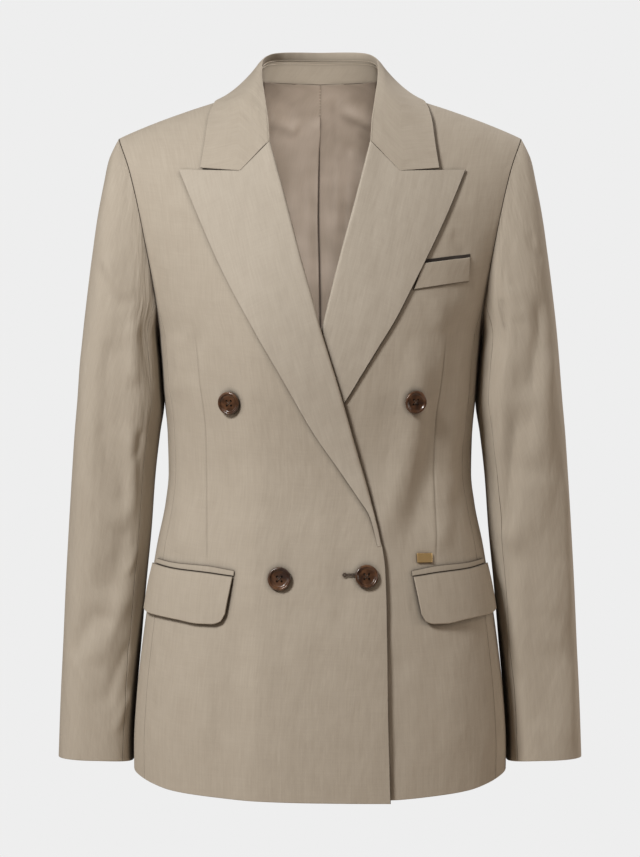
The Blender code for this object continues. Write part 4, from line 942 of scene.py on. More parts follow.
# %% [markdown]
# ## Lapels
# A lapel is the front's facing, turned over the roll line: the cloth comes from inside, rolls round a
# soft edge that canvas keeps full, and lies on the chest. A crease there would look like paper, so
# each level of the lapel starts with a half circle.

# %% Lapels
LAPEL_CLOTH, ROLL_RADIUS, TUCK_LENGTH, TUCK_COLUMNS = 1.5, 2.9, 9.0, 4
LAPEL_ROWS, GORGE_COLUMNS, PEAK_COLUMNS = 110, 16, 26
LAPEL_SEWN = GORGE_COLUMNS + 34  # columns of the gorge and of the notch under the collar's corner
ROLL_TURNS = np.radians([180, 160, 140, 120, 105, 90, 75, 60, 40, 20])
ROLL_SHARE, TUCK_SHARE = 0.3, 0.5  # most of a level's width that its roll's radius and its tuck take
BREAK_SEAT = 0.3  # a lapel's height over the form at its break
LAPEL_EDGE_SHADE = {-1: 0.35, 1: 2.6}  # painted shade along the lapels' outer edges, deepest on the under lapel, for the shadow under the edge


def lapel_out(side, x, z, share):
    """Height of a lapel's face over the form."""
    seat = BREAK_SEAT + (LAPEL_SEAT - BREAK_SEAT) * ramp(z, *BREAK_RAMP)
    proud = smooth_curve(LAPEL_PROUD, FRONT_OF[side])(z) * share**3
    return seat + GORGE_LIFT * ramp(z, *GORGE_RAMP) + proud + front_layer(side, torso(*place(x, z)))


def lapel_sheet(side):
    left, right = (
        np.stack([-smooth_curve(edge, FRONT_OF[side])(z), z], axis=-1)
        for edge in (FRONT_EDGE, LAPEL_EDGE)
        for z in [np.linspace(BREAK_Z, edge[-1][0], LAPEL_ROWS + 1)]
    )
    top = np.vstack([straight(left[-1], NOTCH, GORGE_COLUMNS), straight(NOTCH, right[-1], PEAK_COLUMNS)[1:]])
    grid = coons(straight(left[0], right[0], len(top) - 1), top, left, right)
    along = lengths_along(grid, 1)
    x, z = grid[..., 0], grid[..., 1]
    out = lapel_out(side, x, z, along / along[:, -1:])
    made = []
    for r, reach in enumerate(along):
        radius = min(ROLL_RADIUS, ROLL_SHARE * reach[-1])
        tuck = np.linspace(1, 0.15, TUCK_COLUMNS) * min(TUCK_LENGTH, TUCK_SHARE * reach[-1])
        flat = radius + reach * (1 - radius / reach[-1])
        spots = np.concatenate([radius + tuck, radius * (1 - np.sin(ROLL_TURNS)), flat])
        level = np.full(TUCK_COLUMNS, out[r, 0] - 2 * radius)
        turned = out[r, 0] + radius * (np.cos(ROLL_TURNS) - 1)
        level = np.concatenate([level, turned, np.interp(flat, reach, out[r])])
        made.append([np.interp(spots, reach, x[r]), np.interp(spots, reach, z[r]), level])
    return over(*np.moveaxis(np.array(made), 1, 0))[0] * (side, 1, 1)


# Painted shade in the gorge seam and along each lapel's outer edge.
for node, side in {"lapel_right_over": -1, "lapel_left_under": 1}.items():
    seams = {"last_row": (LAPEL_SEWN, GORGE_SEAM[side], 0.0), "last_column": LAPEL_EDGE_SHADE[side]}
    shell(node, lapel_sheet(side), LAPEL_CLOTH, wool_facing, AHEAD, sewn=seams, flush=-1)
    print(node, len(pieces[node].data.polygons), "faces")

# %% [markdown]
# ## Collar
# The collar is a band round the neck: the stand rises inside from the neck seam, and the leaf turns
# over the fold and falls on the shoulders. Both are rows of points across, one for each station from
# the gorge round the neck, taken from three lines: the fold, the middle and the edge of the leaf.

# %% Tables of the collar
GORGE = [(50.4, -54.0), NOTCH, LEAF_CORNER]  # x, z of the collar's end: fold, middle and edge
COLLAR = [  # fold x y z, middle x y z, edge x y z of each station behind the gorge, to the back
    (52.0, -67.0, -31.5, 81.4, -78.0, -63.1, 113.4, -59.2, -51.2),
    (55.5, -45.5, -8.0, 79.4, -62.0, -39.0, 110.9, -40.0, -28.4),
    (58.3, -19.0, 14.5, 79.2, -36.0, -10.0, 106.4, -15.0, -12.0),
    (59.6, 8.0, 33.0, 77.0, 8.0, 10.5, 102.2, 6.0, -5.6),
    (53.2, 34.0, 42.3, 69.8, 37.0, 21.5, 90.0, 30.5, -0.5),
    (41.2, 51.0, 46.0, 51.5, 57.0, 26.0, 66.0, 52.0, 5.0),
    (22.0, 61.0, 47.2, 27.5, 69.0, 27.5, 34.5, 70.5, 5.6),
    (0.0, 64.5, 47.1, 0.0, 73.0, 27.8, 0.0, 79.0, 5.0),
]
STAND_SEAM = [  # x, y, z of the neck seam under the last collar stations
    (61.5, -10.0, 5.0), (62.5, 10.0, 10.8), (57.0, 32.0, 13.4), (41.5, 49.5, 14.2), (21.5, 60.5, 14.4),
    (0.0, 64.0, 14.4),
]
FOLD = [(8.5, 4.8), (3.0, 4.0), (-0.6, 2.0)]  # down and back: the turned strip, seam to top
GORGE_TURN, SQUARE_SHARE, STRIP_SHARE, STAND_SKIP = 0.35, 0.125, 0.385, 3
LEAF_SHADED = 30  # columns of the leaf's edge painted in shade, for the shadow under it
COLLAR_CLOTH, STAND_CLOTH, STATIONS_BETWEEN = 1.6, 1.0, 12
LEAF_START, LEAF_ROWS, FOLD_ROWS, STAND_ROWS, STAND_BULGE = 0.14, 34, 16, 14, 1.2
print("rows of the collar:", len(COLLAR))


# %% Collar
def both_sides(rows):
    """Stations from the wearer's left gorge round the neck to the right one."""
    rows = np.array(rows, float)
    turned = rows[:-1][::-1].copy()
    turned[:, 0::3] *= -1
    return np.vstack([rows, turned])


def leaf_rows(stations):
    """The turned strip, the fold and the leaf, as rows of points along the stations."""
    last = (len(stations) - 1) / 2
    fold, middle, edge = (stations[:, i : i + 3] for i in (0, 3, 6))
    from_gorge = 1 - np.abs(np.arange(len(stations)) - last) / last
    corner = np.maximum(0, 1 - from_gorge / SQUARE_SHARE)[:, None]

    def leaf_at(t):
        soft = 2 * (t - 0.5) * (t - 1) * fold - 4 * t * (t - 1) * middle + 2 * t * (t - 0.5) * edge
        bent = fold + (middle - fold) * min(2 * t, 1) + (edge - middle) * max(2 * t - 1, 0)
        return soft * (1 - corner) + bent * corner

    first = leaf_at(LEAF_START)
    down = unit(first - fold)
    ahead = np.vstack([fold[1:], fold[-1:]]) - np.vstack([fold[:1], fold[:-1]])
    back = unit(np.cross(ahead, down))
    share = (GORGE_TURN + (1 - GORGE_TURN) * ramp(from_gorge / STRIP_SHARE, 0, 1))[:, None]
    strip = [fold + down * fall * share + back * under * (0.6 + 0.4 * share) for fall, under in FOLD]
    turned = spline([*strip, first, leaf_at(0.32)], 4 * FOLD_ROWS + 1)[: 3 * FOLD_ROWS : 2]
    return np.concatenate([turned, [leaf_at(t) for t in np.linspace(LEAF_START, 1, LEAF_ROWS)]])


gorge_points = [over(x, z, LAPEL_SEAT + GORGE_LIFT)[0] for x, z in GORGE]
collar_table = both_sides([np.concatenate(gorge_points), *COLLAR])
collar_stations = spline(collar_table, (len(collar_table) - 1) * STATIONS_BETWEEN + 1)
leaf_points = leaf_rows(collar_stations)
# Painted shade along the leaf's edge near the wearer's left gorge, and at both gorge ends.
seams = {"last_row": (LEAF_SHADED, 1.6, 0.0), "first_column": 0.1, "last_column": 0.4}
shell("collar_leaf", leaf_points, COLLAR_CLOTH, wool_suiting, (0, 1, 0.2), sewn=seams, flush=0)
skip = STAND_SKIP * STATIONS_BETWEEN
strip_edge = leaf_points[0, skip : len(collar_stations) - skip]
neck_seam = spline(both_sides(STAND_SEAM), len(strip_edge))
up_stand = np.linspace(0, 1, STAND_ROWS)[:, None, None]
bulge = unit(np.cross(np.gradient(strip_edge, axis=0), strip_edge - neck_seam))
stand_points = neck_seam + (strip_edge - neck_seam) * up_stand
stand_points = stand_points + bulge * STAND_BULGE * np.sin(up_stand * math.pi)
shell("collar_stand", stand_points, STAND_CLOTH, wool_facing, AHEAD, flush=-1)
print("collar:", *(len(pieces[node].data.polygons) for node in ("collar_leaf", "collar_stand")))

# %% [markdown]
# ## Sleeves
# A tailored sleeve is two pieces, a wide top and a narrow under, whose seams let it bend forward at
# the elbow. It starts at the armhole itself, point by point, swells over the sleeve head and then
# follows level ovals down to the cuff. One ring of columns makes both, and two of them are seams.

# %% Sleeves
SLEEVE = [  # z, outer_x, inner_x, mid_y, half_depth
    (-46, 203, 188, 4, 6), (-54, 207.5, 176, 4, 20), (-67, 213, 160, 4, 33), (-90, 217.6, 153, 4, 45),
    (-123, 223.3, 152, 4, 54), (-165, 228.7, 151, 4, 59), (-207, 233.3, 153, 5, 60),
    (-243, 236.9, 161.5, 6, 60), (-270, 239.3, 158.8, 7, 60), (-307, 242.2, 155.9, 8, 59),
    (-340, 245.2, 160.4, 9, 57), (-380, 248, 165, 10, 54), (-437, 251.6, 169.2, 12, 51),
    (-490, 254.6, 174.4, 14, 49), (-547, 257.1, 179.2, 14, 47), (-607, 259.8, 184.2, 12, 46),
    (-663, 261.6, 186.6, 10, 45),
]
SLEEVE_CLOTH, SLEEVE_ROWS, HIND_STOP = 1.4, 132, 5 * FINE
HEAD_SHARE, TURN_SHARE, HEAD_GAP = 0.2, 0.625, 0.3
SLEEVE_FULLNESS = 2.8  # power of the level ovals
ROW_CROWDING = 1.12  # rows lie closer toward the head
CUFF_Z = SLEEVE[-1][0]
CUFF_TILT = 1.8  # the cuff is this much lower at the front and twice it at the body
FOREARM_TURN, HIND_TURN = 132.0, -101.0  # where the arm seams reach the cuff, 0 outward, 90 front
sleeve_outer, sleeve_inner, sleeve_mid_y, sleeve_depth = (smooth_curve(SLEEVE, i) for i in (1, 2, 3, 4))


def sleeve_middle(z):
    """Middle and half width of the sleeve's ovals."""
    return (sleeve_outer(z) + sleeve_inner(z)) / 2, (sleeve_outer(z) - sleeve_inner(z)) / 2


def tube(turn, z):
    """Points of the sleeve form: turn 0 faces out, 90 degrees the front, 180 the body."""
    middle, half = sleeve_middle(z)
    out, ahead = (np.sign(t) * np.abs(t) ** (2 / SLEEVE_FULLNESS) for t in (np.cos(turn), np.sin(turn)))
    return np.stack([middle + half * out, sleeve_mid_y(z) - sleeve_depth(z) * ahead, z], axis=-1)


def outward_normals(points):
    normals = grid_normals(points, ring=True)
    return -normals if normals[SLEEVE_ROWS // 2, 0][1] > 0 else normals


def sleeve_ring(side):
    """All columns of a sleeve, its normals, and how many columns lie on the top piece."""
    around = np.vstack([arm_front, arm_back[::-1][1 : HIND_STOP + 1]])
    under = np.vstack([arm_back[: BACK_STEPS - HIND_STOP + 1][::-1], arm_side[::-1][1:]])
    stops = np.vstack([around, under[1:-1]])
    cuff = np.linspace(FOREARM_TURN, HIND_TURN, len(around))
    cuff = np.radians([*cuff, *np.linspace(HIND_TURN, FOREARM_TURN - 360, len(under))[1:-1]])
    head = torso(*stops.T) + (HEAD_GAP, 0, 0)
    x, y, head_z = head.T
    middle, half = sleeve_middle(head_z)
    start = np.arctan2(-(y - sleeve_mid_y(head_z)) / sleeve_depth(head_z), (x - middle) / half)
    start += np.round((cuff - start) / (2 * math.pi)) * 2 * math.pi
    pull = head - tube(start, head_z)
    v = (np.linspace(0, 1, SLEEVE_ROWS + 1) ** ROW_CROWDING)[:, None]
    z = head_z + (CUFF_Z - CUFF_TILT * (1 - np.cos(cuff)) - head_z) * v
    turn = start + (cuff - start) * ramp(v / TURN_SHARE, 0, 1)
    points = tube(turn, z) + pull * (1 - ramp(v / HEAD_SHARE, 0, 1))[..., None]
    reach = math.radians(SLEEVE_RADIUS)
    rows = np.array(SLEEVE_FOLDS[side]) * ([reach, 1] * 3 + [1, 1])
    height = fold_height(rows, ((np.degrees(turn) + 180) % 360 - 180) * reach, z)
    points = points + outward_normals(points) * height[..., None]
    normals = outward_normals(points)
    head_normals = torso_normal(*stops.T)
    share = ramp(2 * (normals[0] * head_normals).sum(-1), 0, 1)[:, None]
    normals[0] = unit(normals[0] * (1 - share) + head_normals * share)
    return points * (side, 1, 1), normals * (side, 1, 1), len(around) - 1


# Painted shade in the armhole's groove and in both arm seams.
for tag, side in SIDES.items():
    points, normals, cut = sleeve_ring(side)
    loop = [*range(points.shape[1]), 0]
    for part, picked in (("top", loop[: cut + 1]), ("under", loop[cut:])):
        face, facing = points[:, picked], normals[:, picked]
        hint = facing[len(facing) // 2, len(picked) // 2]
        seams = {"first_row": 1.0, "first_column": FINE_SEAM, "last_column": FINE_SEAM}
        shell(f"sleeve_{part}_{tag}", face, SLEEVE_CLOTH, wool_suiting, hint, normals=facing, sewn=seams)
print("sleeves done, pieces:", len(pieces))

# %% [markdown]
# ## Pockets
# The side pockets have one narrow jet, a folded strip that binds the slit, and a flap that hangs
# from it and stands off the hip by its own thickness. The chest pocket has a welt, a band sewn on
# three sides. Its mouth is open at the top: a dark strip inside is painted shade for the depth of the
# pocket.

# %% Pockets
JET = [  # angle, top_z, bottom_z from the inner end round to the side
    (26.5, -473.8, -479.0), (38.5, -469.4, -475.5), (55.5, -467.4, -472.6), (75.3, -464.0, -468.6),
    (82.0, -463.5, -468.0),
]
FLAP = [  # angle, bottom_z from the inner edge round to the side
    (26.8, -516.0), (28.6, -523.6), (32.0, -526.0), (38.0, -525.8), (48.1, -522.7), (61.2, -519.7),
    (72.3, -517.6), (80.0, -514.5),
]
JET_CLOTH, FLAP_CLOTH, WELT_CLOTH, MOUTH_CLOTH = 1.0, 1.8, 1.5, 0.6
JET_OUT, JET_END, FLAP_DROP = 2.0, 75.3, 0.5
INNER_END = {-1: 26.5, 1: 29.1}  # side: angle of a pocket's inner end
FLAP_SLANT = 1.7  # the flap's inner edge leans by this angle from top to bottom
FLAP_OUT_TOP, FLAP_OUT_BOTTOM, FLAP_BELLY = 3.2, 5.2, 0.6
FLAP_BEND = 34.0  # angle up to which the flap's columns lie closer, round its corner
WELT = [(100.0, -175.0), (147.3, -167.9), (146.5, -191.5), (91.0, -200.8)]  # x, z of its corners
WELT_OUT, WELT_LEAN, WELT_STEPS = 1.6, 0.5, (30, 14)
MOUTH_LOW, MOUTH_HEIGHT, MOUTH_DEPTH = -3.0, 3.4, 0.5
jet_top, jet_bottom, flap_bottom = smooth_curve(JET, 1), smooth_curve(JET, 2), smooth_curve(FLAP, 1)


def pocket_strip(side, angles, top, bottom, rows, out, slant=0.0):
    """A pocket piece laid on its front between two heights at each angle."""
    v = np.linspace(0, 1, rows)[:, None]
    shift = INNER_END[side] - JET[0][0] + slant * (1 - v)
    turn = np.radians(angles + shift * (JET[-1][0] - angles) / (JET[-1][0] - JET[0][0]))
    rise = bottom + (top - bottom) * v - UNDERARM_Z
    lift = out(v) + front_layer(side, torso(turn, rise)) + body_height(side, turn, rise)
    return off_form(turn, rise, lift, side)


def flap_out(v):
    return FLAP_OUT_BOTTOM + (FLAP_OUT_TOP - FLAP_OUT_BOTTOM) * v + FLAP_BELLY * np.sin(v * math.pi)


def on_chest(x, z, out):
    """Points off the left chest and its folds."""
    return over(x, z, out + body_height(1, *place(x, z)))[0]


jet_angles = np.linspace(JET[0][0], JET_END, 60)
flap_angles = [np.linspace(FLAP[0][0], FLAP_BEND, 22)[:-1], np.linspace(FLAP_BEND, FLAP[-1][0], 50)]
flap_angles = np.concatenate(flap_angles)
# Painted shade along the jets' seams and the flaps' tops.
for tag, side in SIDES.items():
    hint = (side * 0.5, -1, 0)
    span = jet_top(jet_angles), jet_bottom(jet_angles)
    face = pocket_strip(side, jet_angles, *span, 6, lambda v: JET_OUT - 0 * v)
    seams = {"first_row": 0.6, "last_row": 0.9}
    shell(f"pocket_jet_{tag}", face, JET_CLOTH, wool_suiting, hint, sewn=seams)
    span = jet_bottom(flap_angles) - FLAP_DROP, flap_bottom(flap_angles)
    face = pocket_strip(side, flap_angles, *span, 26, flap_out, FLAP_SLANT)
    shell(f"pocket_flap_{tag}", face, FLAP_CLOTH, wool_suiting, hint, sewn={"last_row": 1.0})

top_in, top_out, low_out, low_in = (np.array(corner) for corner in WELT)
across, up = WELT_STEPS
welt_sides = straight(low_in, low_out, across), straight(top_in, top_out, across)
welt_grid = coons(*welt_sides, straight(low_in, top_in, up), straight(low_out, top_out, up))
lean = np.linspace(0, 1, up + 1)[:, None] ** 2 * WELT_LEAN
face = on_chest(welt_grid[..., 0], welt_grid[..., 1], WELT_OUT + lean)
# Painted shade along the welt's sewn sides.
seams = {"first_row": 0.8, "first_column": GORGE_SEAM[1], "last_column": GORGE_SEAM[-1]}
shell("chest_welt", face, WELT_CLOTH, wool_suiting, AHEAD, sewn=seams)
# The mouth is a dark sheet of painted shade at the welt's open top.
mouth = np.array([straight(top_in, top_out, 29) + (0, z) for z in (MOUTH_LOW, 0, MOUTH_HEIGHT)])
face = on_chest(mouth[..., 0], mouth[..., 1], MOUTH_DEPTH)
shell(None, face, MOUTH_CLOTH, pocket_shade, AHEAD, "chest_pocket_mouth_shade")
print("pockets done, pieces:", len(pieces))

# %% [markdown]
# ## Lining
# Only the back lining shows, through the neck. It is cut wider than the back and the spare width is
# laid in a pleat at the centre, so that the wearer's shoulders can move: sewn down for the first
# hand's breadth, open below, where its fold throws a dark line, deepened with painted shade. Satin is
# limp, so it wrinkles softly.

# %% Back lining
LINING_EDGE = [  # z, half_width
    (-330, 62), (-250, 84), (-150, 98), (-60, 92), (-10, 74), (8, 58),
]
LINING_CLOTH, LINING_IN, LINING_TOP_IN, LINING_TOP_Z = 0.8, 5.6, 2.8, 15.2
LINING_ROWS, LINING_COLUMNS = 110, 36
PLEAT_COLUMNS = (-6.0, -4.0, -2.4, -1.2, -0.5, 0.0, 0.35, 0.8, 1.6, 2.6, 4.0, 6.0, 9.0)
PLEAT_LINE = [(8, 0.3), (-17, 0.3), (-54, -2.1), (-117, -2.6), (-165, -1.4), (-231, -0.4), (-330, 0)]
PLEAT_RISE = [  # distance from the fold, height towards the viewer
    (-60, 0.0), (-20, 0.7), (-6, 2.0), (-1.2, 2.7), (0.0, 2.2), (0.35, -1.0), (0.8, -2.6), (2.6, -2.2),
    (9, -0.6), (30, 0.0), (60, 0.0),
]
LINING_FOLDS = [  # x z at start, bend and end, half width, height
    (-4, 10, -6, -90, -4, -220, 30, 4.0), (-54, 2, -42, -2, -24, -9, 7, -1.2),
    (-56, -17, -40, -23, -22, -30, 7, 2.6), (-56, -24, -50, -70, -42, -120, 10, -1.5),
    (-34, -20, -32, -80, -34, -140, 14, 1.9), (-15, -60, -13, -120, -12, -200, 7, -1.5),
    (-24, -130, -20, -190, -14, -240, 9, 1.0), (27, 3, 38, -1, 56, -6, 7, -1.2),
    (20, -8, 40, -17, 60, -25, 6, 2.8), (18, 8, 20, -30, 24, -60, 6, 1.8),
    (46, -34, 38, -46, 26, -50, 6, -1.4), (14, -30, 18, -80, 17, -150, 7, 1.7),
    (32, -60, 28, -110, 24, -180, 8, -1.7), (11, -196, 18, -206, 30, -202, 5, -1.5),
    (44, -60, 42, -100, 34, -150, 8, 1.3),
]


def on_lining(x, z, from_fold):
    """Points of the lining's face and the painted shade along the pleat's fold."""
    angle, rise = place(x, z, back=True)
    open_pleat = ramp(z, -14, -26)
    height = smooth_curve(PLEAT_RISE, 1)(from_fold) * open_pleat + fold_height(LINING_FOLDS, x, z)
    height -= 0.5 * bell(from_fold, 0.9) * (1 - open_pleat)
    height *= ramp(z, 16, 2) * 0.9 + 0.1
    depth = LINING_TOP_IN + (LINING_IN - LINING_TOP_IN) * ramp(z, 17, -8)
    return off_form(angle, rise, -depth - height), (0.3 + 0.7 * open_pleat) * bell(from_fold - 0.9, 1.2)


def lining_sheet():
    half, fold_x = smooth_curve(LINING_EDGE, 1), smooth_curve(PLEAT_LINE, 1)
    rows = []
    for z in np.linspace(LINING_EDGE[0][0], LINING_TOP_Z, LINING_ROWS + 1):
        line, wide = float(fold_x(z)), float(half(z))
        pleat = line + np.array(PLEAT_COLUMNS)
        left = np.linspace(-wide, pleat[0], LINING_COLUMNS)[:-1]
        x = np.concatenate([left, pleat, np.linspace(pleat[-1], wide, LINING_COLUMNS)[1:]])
        rows.append(np.stack([x, z + 0 * x, x - line], axis=-1))
    return on_lining(*np.moveaxis(np.array(rows), -1, 0))


face, crease = lining_sheet()
shell("back_lining", face, LINING_CLOTH, viscose_satin, AHEAD, "back_lining_satin", crease=crease)
print("lining:", len(pieces["back_lining"].data.polygons), "faces")

# %% [markdown]
# ## Stitches
# A stitch is a short arc of thread with its ends pulled into the cloth. One is modelled as a slender
# pod and copied along a line: two rows under the collar's fold, and the tack that closes the pleat.

# %% Stitches
STITCH_LENGTH, STITCH_GAP, STITCH_WIDTH, STITCH_OUT = 1.5, 1.5, 1.0, 0.7
STITCH_DROPS = (-1.2, 2.4)  # distances of the two rows under the seam
POD = [(-0.5, 0.25), (-0.3, 0.85), (0.0, 1.0), (0.3, 0.85), (0.5, 0.25)]  # place along, thickness
POD_TURNS = np.radians(range(0, 360, 60))
TACK_TOP, TACK_END, TACK_STEPS, TACK_X = 12, -16, 12, 0.3


def pods(name, spots, looks):
    """A mesh of slender pods: each spot is centre, along, outward, length and width, in mm."""
    form = bmesh.new()
    for centre, along, outward, length, width in spots:
        along, outward = Vector(along).normalized(), Vector(outward).normalized()
        aside = along.cross(outward)
        rings = []
        for t, w in POD:
            middle = Vector(centre) + along * t * length + outward * (w - 0.6) * width * 0.5
            arms = [(aside * math.cos(a) + outward * math.sin(a)) * w * width / 2 for a in POD_TURNS]
            rings.append([form.verts.new((middle + arm) * MM) for arm in arms])
        for low, high in zip(rings, rings[1:]):
            for i, vert in enumerate(low):
                j = (i + 1) % len(low)
                form.faces.new((vert, low[j], high[j], high[i]))
        form.faces.new(rings[0][::-1])
        form.faces.new(rings[-1])
    mesh = mesh_from(form, name)
    mesh.shade_smooth()
    return finish_piece(name, mesh, looks)


def stitch_spots(path, outward):
    """Spots for pods at even steps along a path of points."""
    path = np.asarray(path)
    away = lengths_along(path, 0)
    spots = []
    for start in np.arange(STITCH_GAP, away[-1] - STITCH_LENGTH, STITCH_LENGTH + STITCH_GAP):
        first, last, facing = (
            np.array([np.interp(s, away, rows[:, k]) for k in range(3)])
            for s, rows in ((start, path), (start + STITCH_LENGTH, path), (start, outward))
        )
        spots.append(((first + last) / 2, last - first, facing, STITCH_LENGTH, STITCH_WIDTH))
    return spots


seam_out = -bulge if bulge[len(bulge) // 2] @ AHEAD < 0 else bulge
below = unit(stand_points[-2] - stand_points[-1])
spots = []
for drop in STITCH_DROPS:
    spots += stitch_spots(stand_points[-1] + below * drop + seam_out * STITCH_OUT, seam_out)
stand_stitches = pods("collar_stand_stitches", spots, taupe_thread)
tack_z = np.linspace(TACK_TOP, TACK_END, TACK_STEPS)
tack_line = on_lining(np.full(TACK_STEPS, TACK_X), tack_z, np.zeros(TACK_STEPS))[0] - (0, 0.2, 0)
tack = pods("pleat_tack_stitches", stitch_spots(tack_line, np.full((TACK_STEPS, 3), AHEAD)), taupe_thread)
print("stitches:", len(spots))

# %% [markdown]
# ## A lamp for the neck
# Pictures of a worn jacket are lit into the neck as well, or the lining sinks into the dark. The lamp
# shines on nothing but the neck's inside, which the key light leaves out.

# %% Neck lamp
NECK_LAMP = ((0.05, -2.1, 0.3), (0, 0, -0.1), 0.5, 30, "#fffaf4")  # place, aim, size, watts, colour
inside, outside = (bpy.data.collections.new(name) for name in ("inside_of_the_neck", "all_but_the_neck"))
for piece in (pieces["back_lining"], pieces["collar_stand"], stand_stitches, tack):
    inside.objects.link(piece)
    outside.objects.link(piece)
for entry in outside.collection_objects:
    entry.light_linking.link_state = "EXCLUDE"
bpy.data.objects["key_lamp"].light_linking.receiver_collection = outside
add_lamp("neck_lamp", *NECK_LAMP).light_linking.receiver_collection = inside

# %% [markdown]
# ## Buttons
# A suit button is turned: a shallow dish inside a raised rim. Its profile spun round the axis gives
# the body, four small cylinders are taken out of it for the holes, and two bridges of thread cross
# in the dish. Each button faces out from the front that carries it.

# %% Buttons
BUTTON_RADIUS, BUTTON_LIFT, BUTTON_TURNS = 11.3, 0.8, 72
BUTTON_PROFILE = [  # radius, height: dish, rim, edge and back
    (0.0, 1.75), (4.6, 1.7), (7.6, 1.8), (8.4, 2.3), (8.9, 3.0), (9.5, 3.5), (10.1, 3.6), (10.7, 3.4),
    (11.15, 2.9), (11.3, 2.2), (11.1, 1.3), (10.4, 0.6), (8.6, 0.1), (0.0, 0.0),
]
HOLE_RADIUS, HOLE_OFFSET, DRILL_LENGTH = 1.1, 2.25, 10
HOLES = [(1, 1), (-1, 1), (-1, -1), (1, -1)]
THREAD_HEIGHT, THREAD_WIDTH = 1.9, 0.9
BUTTON_PLACES = {  # node: x, z, front that carries it
    "button_upper_right": (-87.9, -310.8, "over"),
    "button_upper_left": (92.3, -309.8, "under"),
    "button_lower_right": (-39.2, -481.1, "over"),
    "button_lower_left": (45.0, -478.8, "over"),
}


def turned_button():
    """The mesh of one button, its axis along +Z and its back at zero."""
    profile = spline(BUTTON_PROFILE, 1 + 2 * (len(BUTTON_PROFILE) - 1))
    profile[0, 0] = profile[-1, 0] = 0
    verts = [(radius * MM, 0, height * MM) for radius, height in profile]
    mesh = bpy.data.meshes.new("turned_button")
    mesh.from_pydata(verts, [(i, i + 1) for i in range(len(verts) - 1)], [])
    blank = put("turned_button", mesh)
    spin = blank.modifiers.new("spin", "SCREW")
    spin.steps = spin.render_steps = BUTTON_TURNS
    spin.use_merge_vertices, spin.merge_threshold = True, 1e-5
    cutters = []
    for sx, sy in HOLES:
        drill, radius = bmesh.new(), HOLE_RADIUS * MM
        bmesh.ops.create_cone(
            drill, cap_ends=True, segments=20, radius1=radius, radius2=radius, depth=DRILL_LENGTH * MM
        )
        cutter = put("drill", mesh_from(drill, "drill"))
        cutter.location = (sx * HOLE_OFFSET * MM, sy * HOLE_OFFSET * MM, 0)
        hole = blank.modifiers.new("hole", "BOOLEAN")
        hole.object, hole.solver = cutter, "EXACT"
        cutters.append(cutter)
    bpy.context.view_layer.update()
    made = bpy.data.meshes.new_from_object(blank.evaluated_get(bpy.context.evaluated_depsgraph_get()))
    for thing in (blank, *cutters):
        bpy.data.objects.remove(thing)
    made.shade_smooth()
    made.set_sharp_from_angle(angle=math.radians(50))
    return made


def button_frame(x, z, out):
    """Place on a front and the frame whose +Z is the front's outward normal."""
    on_fold = float(body_height(int(math.copysign(1, x)), *place(abs(x), z)))
    point, normal = over(x, z, out + on_fold)
    outward = Vector(normal)
    right = Vector((0, 0, 1)).cross(outward).normalized()
    turn = Matrix((right, outward.cross(right), outward)).transposed().to_4x4()
    return Matrix.Translation(Vector(point) * MM) @ turn


button_blank = turned_button()
threads = []
for node, (x, z, front) in BUTTON_PLACES.items():
    climb = float(ramp(-x - BUTTON_RADIUS / 2, *CLIMB)) if front == "over" else 0.0
    seat = button_frame(x, z, OVERLAP_LIFT * climb + BUTTON_LIFT)
    mesh = button_blank.copy()
    mesh.transform(seat)
    finish_piece(f"{node}_horn", mesh, horn_resin, node)
    for end in HOLES[0], HOLES[3]:
        arm = Vector((*end, 0)) * HOLE_OFFSET
        a, b = (seat @ ((Vector((0, 0, THREAD_HEIGHT)) + arm * way) * MM) / MM for way in (1, -1))
        threads.append(((a + b) / 2, b - a, seat.to_3x3() @ Vector((0, 0, 1)), (b - a).length, THREAD_WIDTH))
pods("button_threads", threads, brown_thread)
print("buttons:", len(BUTTON_PLACES), "of", len(button_blank.polygons), "faces")

# %% [markdown]
# ## Buttonhole and bar
# A keyhole buttonhole has a round eye for the shank and a slit, all worked with close purl stitches.
# Most of it hides under its button. The small metal bar keeps its own shape and only needs brass.

# %% Buttonhole
HOLE_LEFT, HOLE_RIGHT, HOLE_Z, HOLE_HALF = 22.4, 36.0, -477.2, 0.85
EYE_X, EYE_RADIUS, EYE_TURNS = 1.3, 1.5, np.radians(range(40, 321, 24))
PURL_STEP, PURL_LENGTH, PURL_WIDTH, EYE_PURL_WIDTH, PURL_OUT = 0.55, 1.5, 0.5, 0.6, 0.25


def purl_spots():
    """Close stitches across the two sides of the slit and round its eye."""
    purls = []
    for x in np.arange(HOLE_LEFT + 1.6, HOLE_RIGHT, PURL_STEP):
        purls += [(x, way * HOLE_HALF, (0, 0, way), PURL_WIDTH) for way in (-1, 1)]
    for c, s in zip(np.cos(EYE_TURNS), np.sin(EYE_TURNS)):
        purls.append((HOLE_LEFT + EYE_X + c * EYE_RADIUS, s * EYE_RADIUS, (c, 0, s), EYE_PURL_WIDTH))
    spots = []
    for x, up, way, width in purls:
        point, normal = over(x, HOLE_Z + up, OVERLAP_LIFT + PURL_OUT)
        spots.append((point, way, normal, PURL_LENGTH, width))
    return spots


buttonhole = pods("front_buttonhole", purl_spots(), brown_thread)
bar = frame["nodes"]["metal_bar"]
bar.data.materials.clear()
bar.data.materials.append(polished_brass)
print("buttonhole:", len(buttonhole.data.polygons), "faces")

# %% [markdown]
# ## The flat cut
# Every cloth piece was a flat shape first. The table gives its rectangle and the area of the shape
# cut from it, in metres, and what it is sewn to.

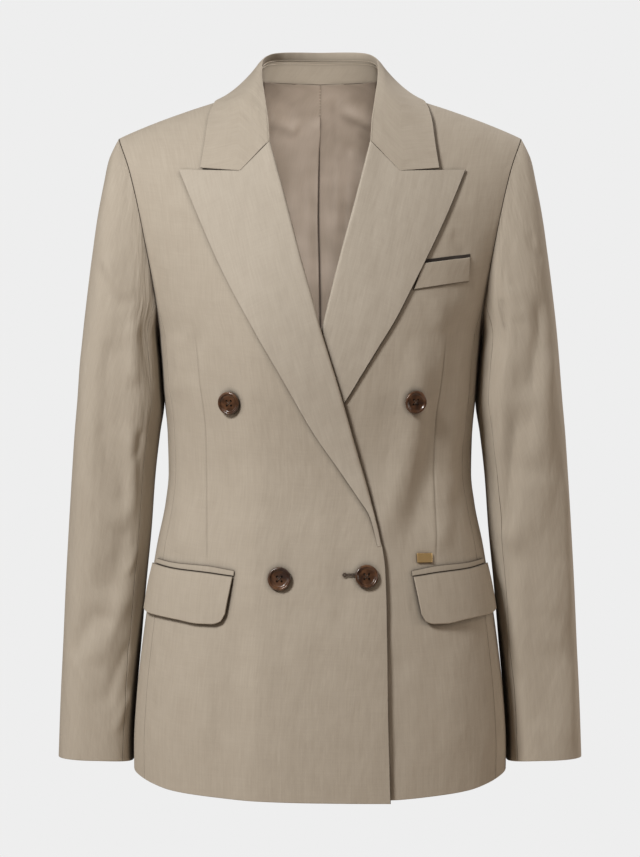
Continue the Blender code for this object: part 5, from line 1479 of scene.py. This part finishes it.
# %% Flat cut
CUT = [  # node, width, length, area, held, sewn to
    ("front_right_over", 0.30, 0.72, 0.150, "hung", ["back_right", "side_body_right"]),
    ("front_left_under", 0.30, 0.72, 0.148, "hung", ["back_left", "side_body_left"]),
    ("side_body_left", 0.13, 0.48, 0.048, "hung", ["back_left"]),
    ("side_body_right", 0.13, 0.48, 0.048, "hung", ["back_right"]),
    ("back_left", 0.22, 0.70, 0.124, "hung", ["side_body_left"]),
    ("back_right", 0.22, 0.70, 0.124, "hung", ["side_body_right"]),
    ("lapel_right_over", 0.12, 0.40, 0.028, "folded", ["front_right_over"]),
    ("lapel_left_under", 0.12, 0.40, 0.028, "folded", ["front_left_under"]),
    ("collar_leaf", 0.09, 0.46, 0.030, "folded", ["collar_stand"]),
    ("collar_stand", 0.04, 0.20, 0.005, "folded", ["back_left", "back_right"]),
    ("sleeve_top_left", 0.23, 0.62, 0.110, "hung", ["front_left_under"]),
    ("sleeve_top_right", 0.23, 0.62, 0.110, "hung", ["front_right_over"]),
    ("sleeve_under_left", 0.12, 0.54, 0.046, "hung", ["side_body_left"]),
    ("sleeve_under_right", 0.12, 0.54, 0.046, "hung", ["side_body_right"]),
    ("pocket_jet_left", 0.12, 0.01, 0.0006, "folded", ["front_left_under"]),
    ("pocket_jet_right", 0.12, 0.01, 0.0006, "folded", ["front_right_over"]),
    ("pocket_flap_left", 0.14, 0.06, 0.0065, "hung", ["pocket_jet_left"]),
    ("pocket_flap_right", 0.14, 0.06, 0.0065, "hung", ["pocket_jet_right"]),
    ("chest_welt", 0.06, 0.03, 0.0013, "folded", ["front_left_under"]),
    ("back_lining", 0.20, 0.35, 0.060, "hung", ["collar_stand"]),
]
for node, width, length, area, held, sewn_to in CUT:
    shown = sum(p.area for p in pieces[node].data.polygons) / 2
    print(f"{node:20} shown {shown:.4f} of {area:.4f} square metres")

# %% Sizes and finish
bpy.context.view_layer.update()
triangles = sum(sum(len(p.vertices) - 2 for p in piece.data.polygons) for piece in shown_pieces())
print("triangles in all:", triangles)
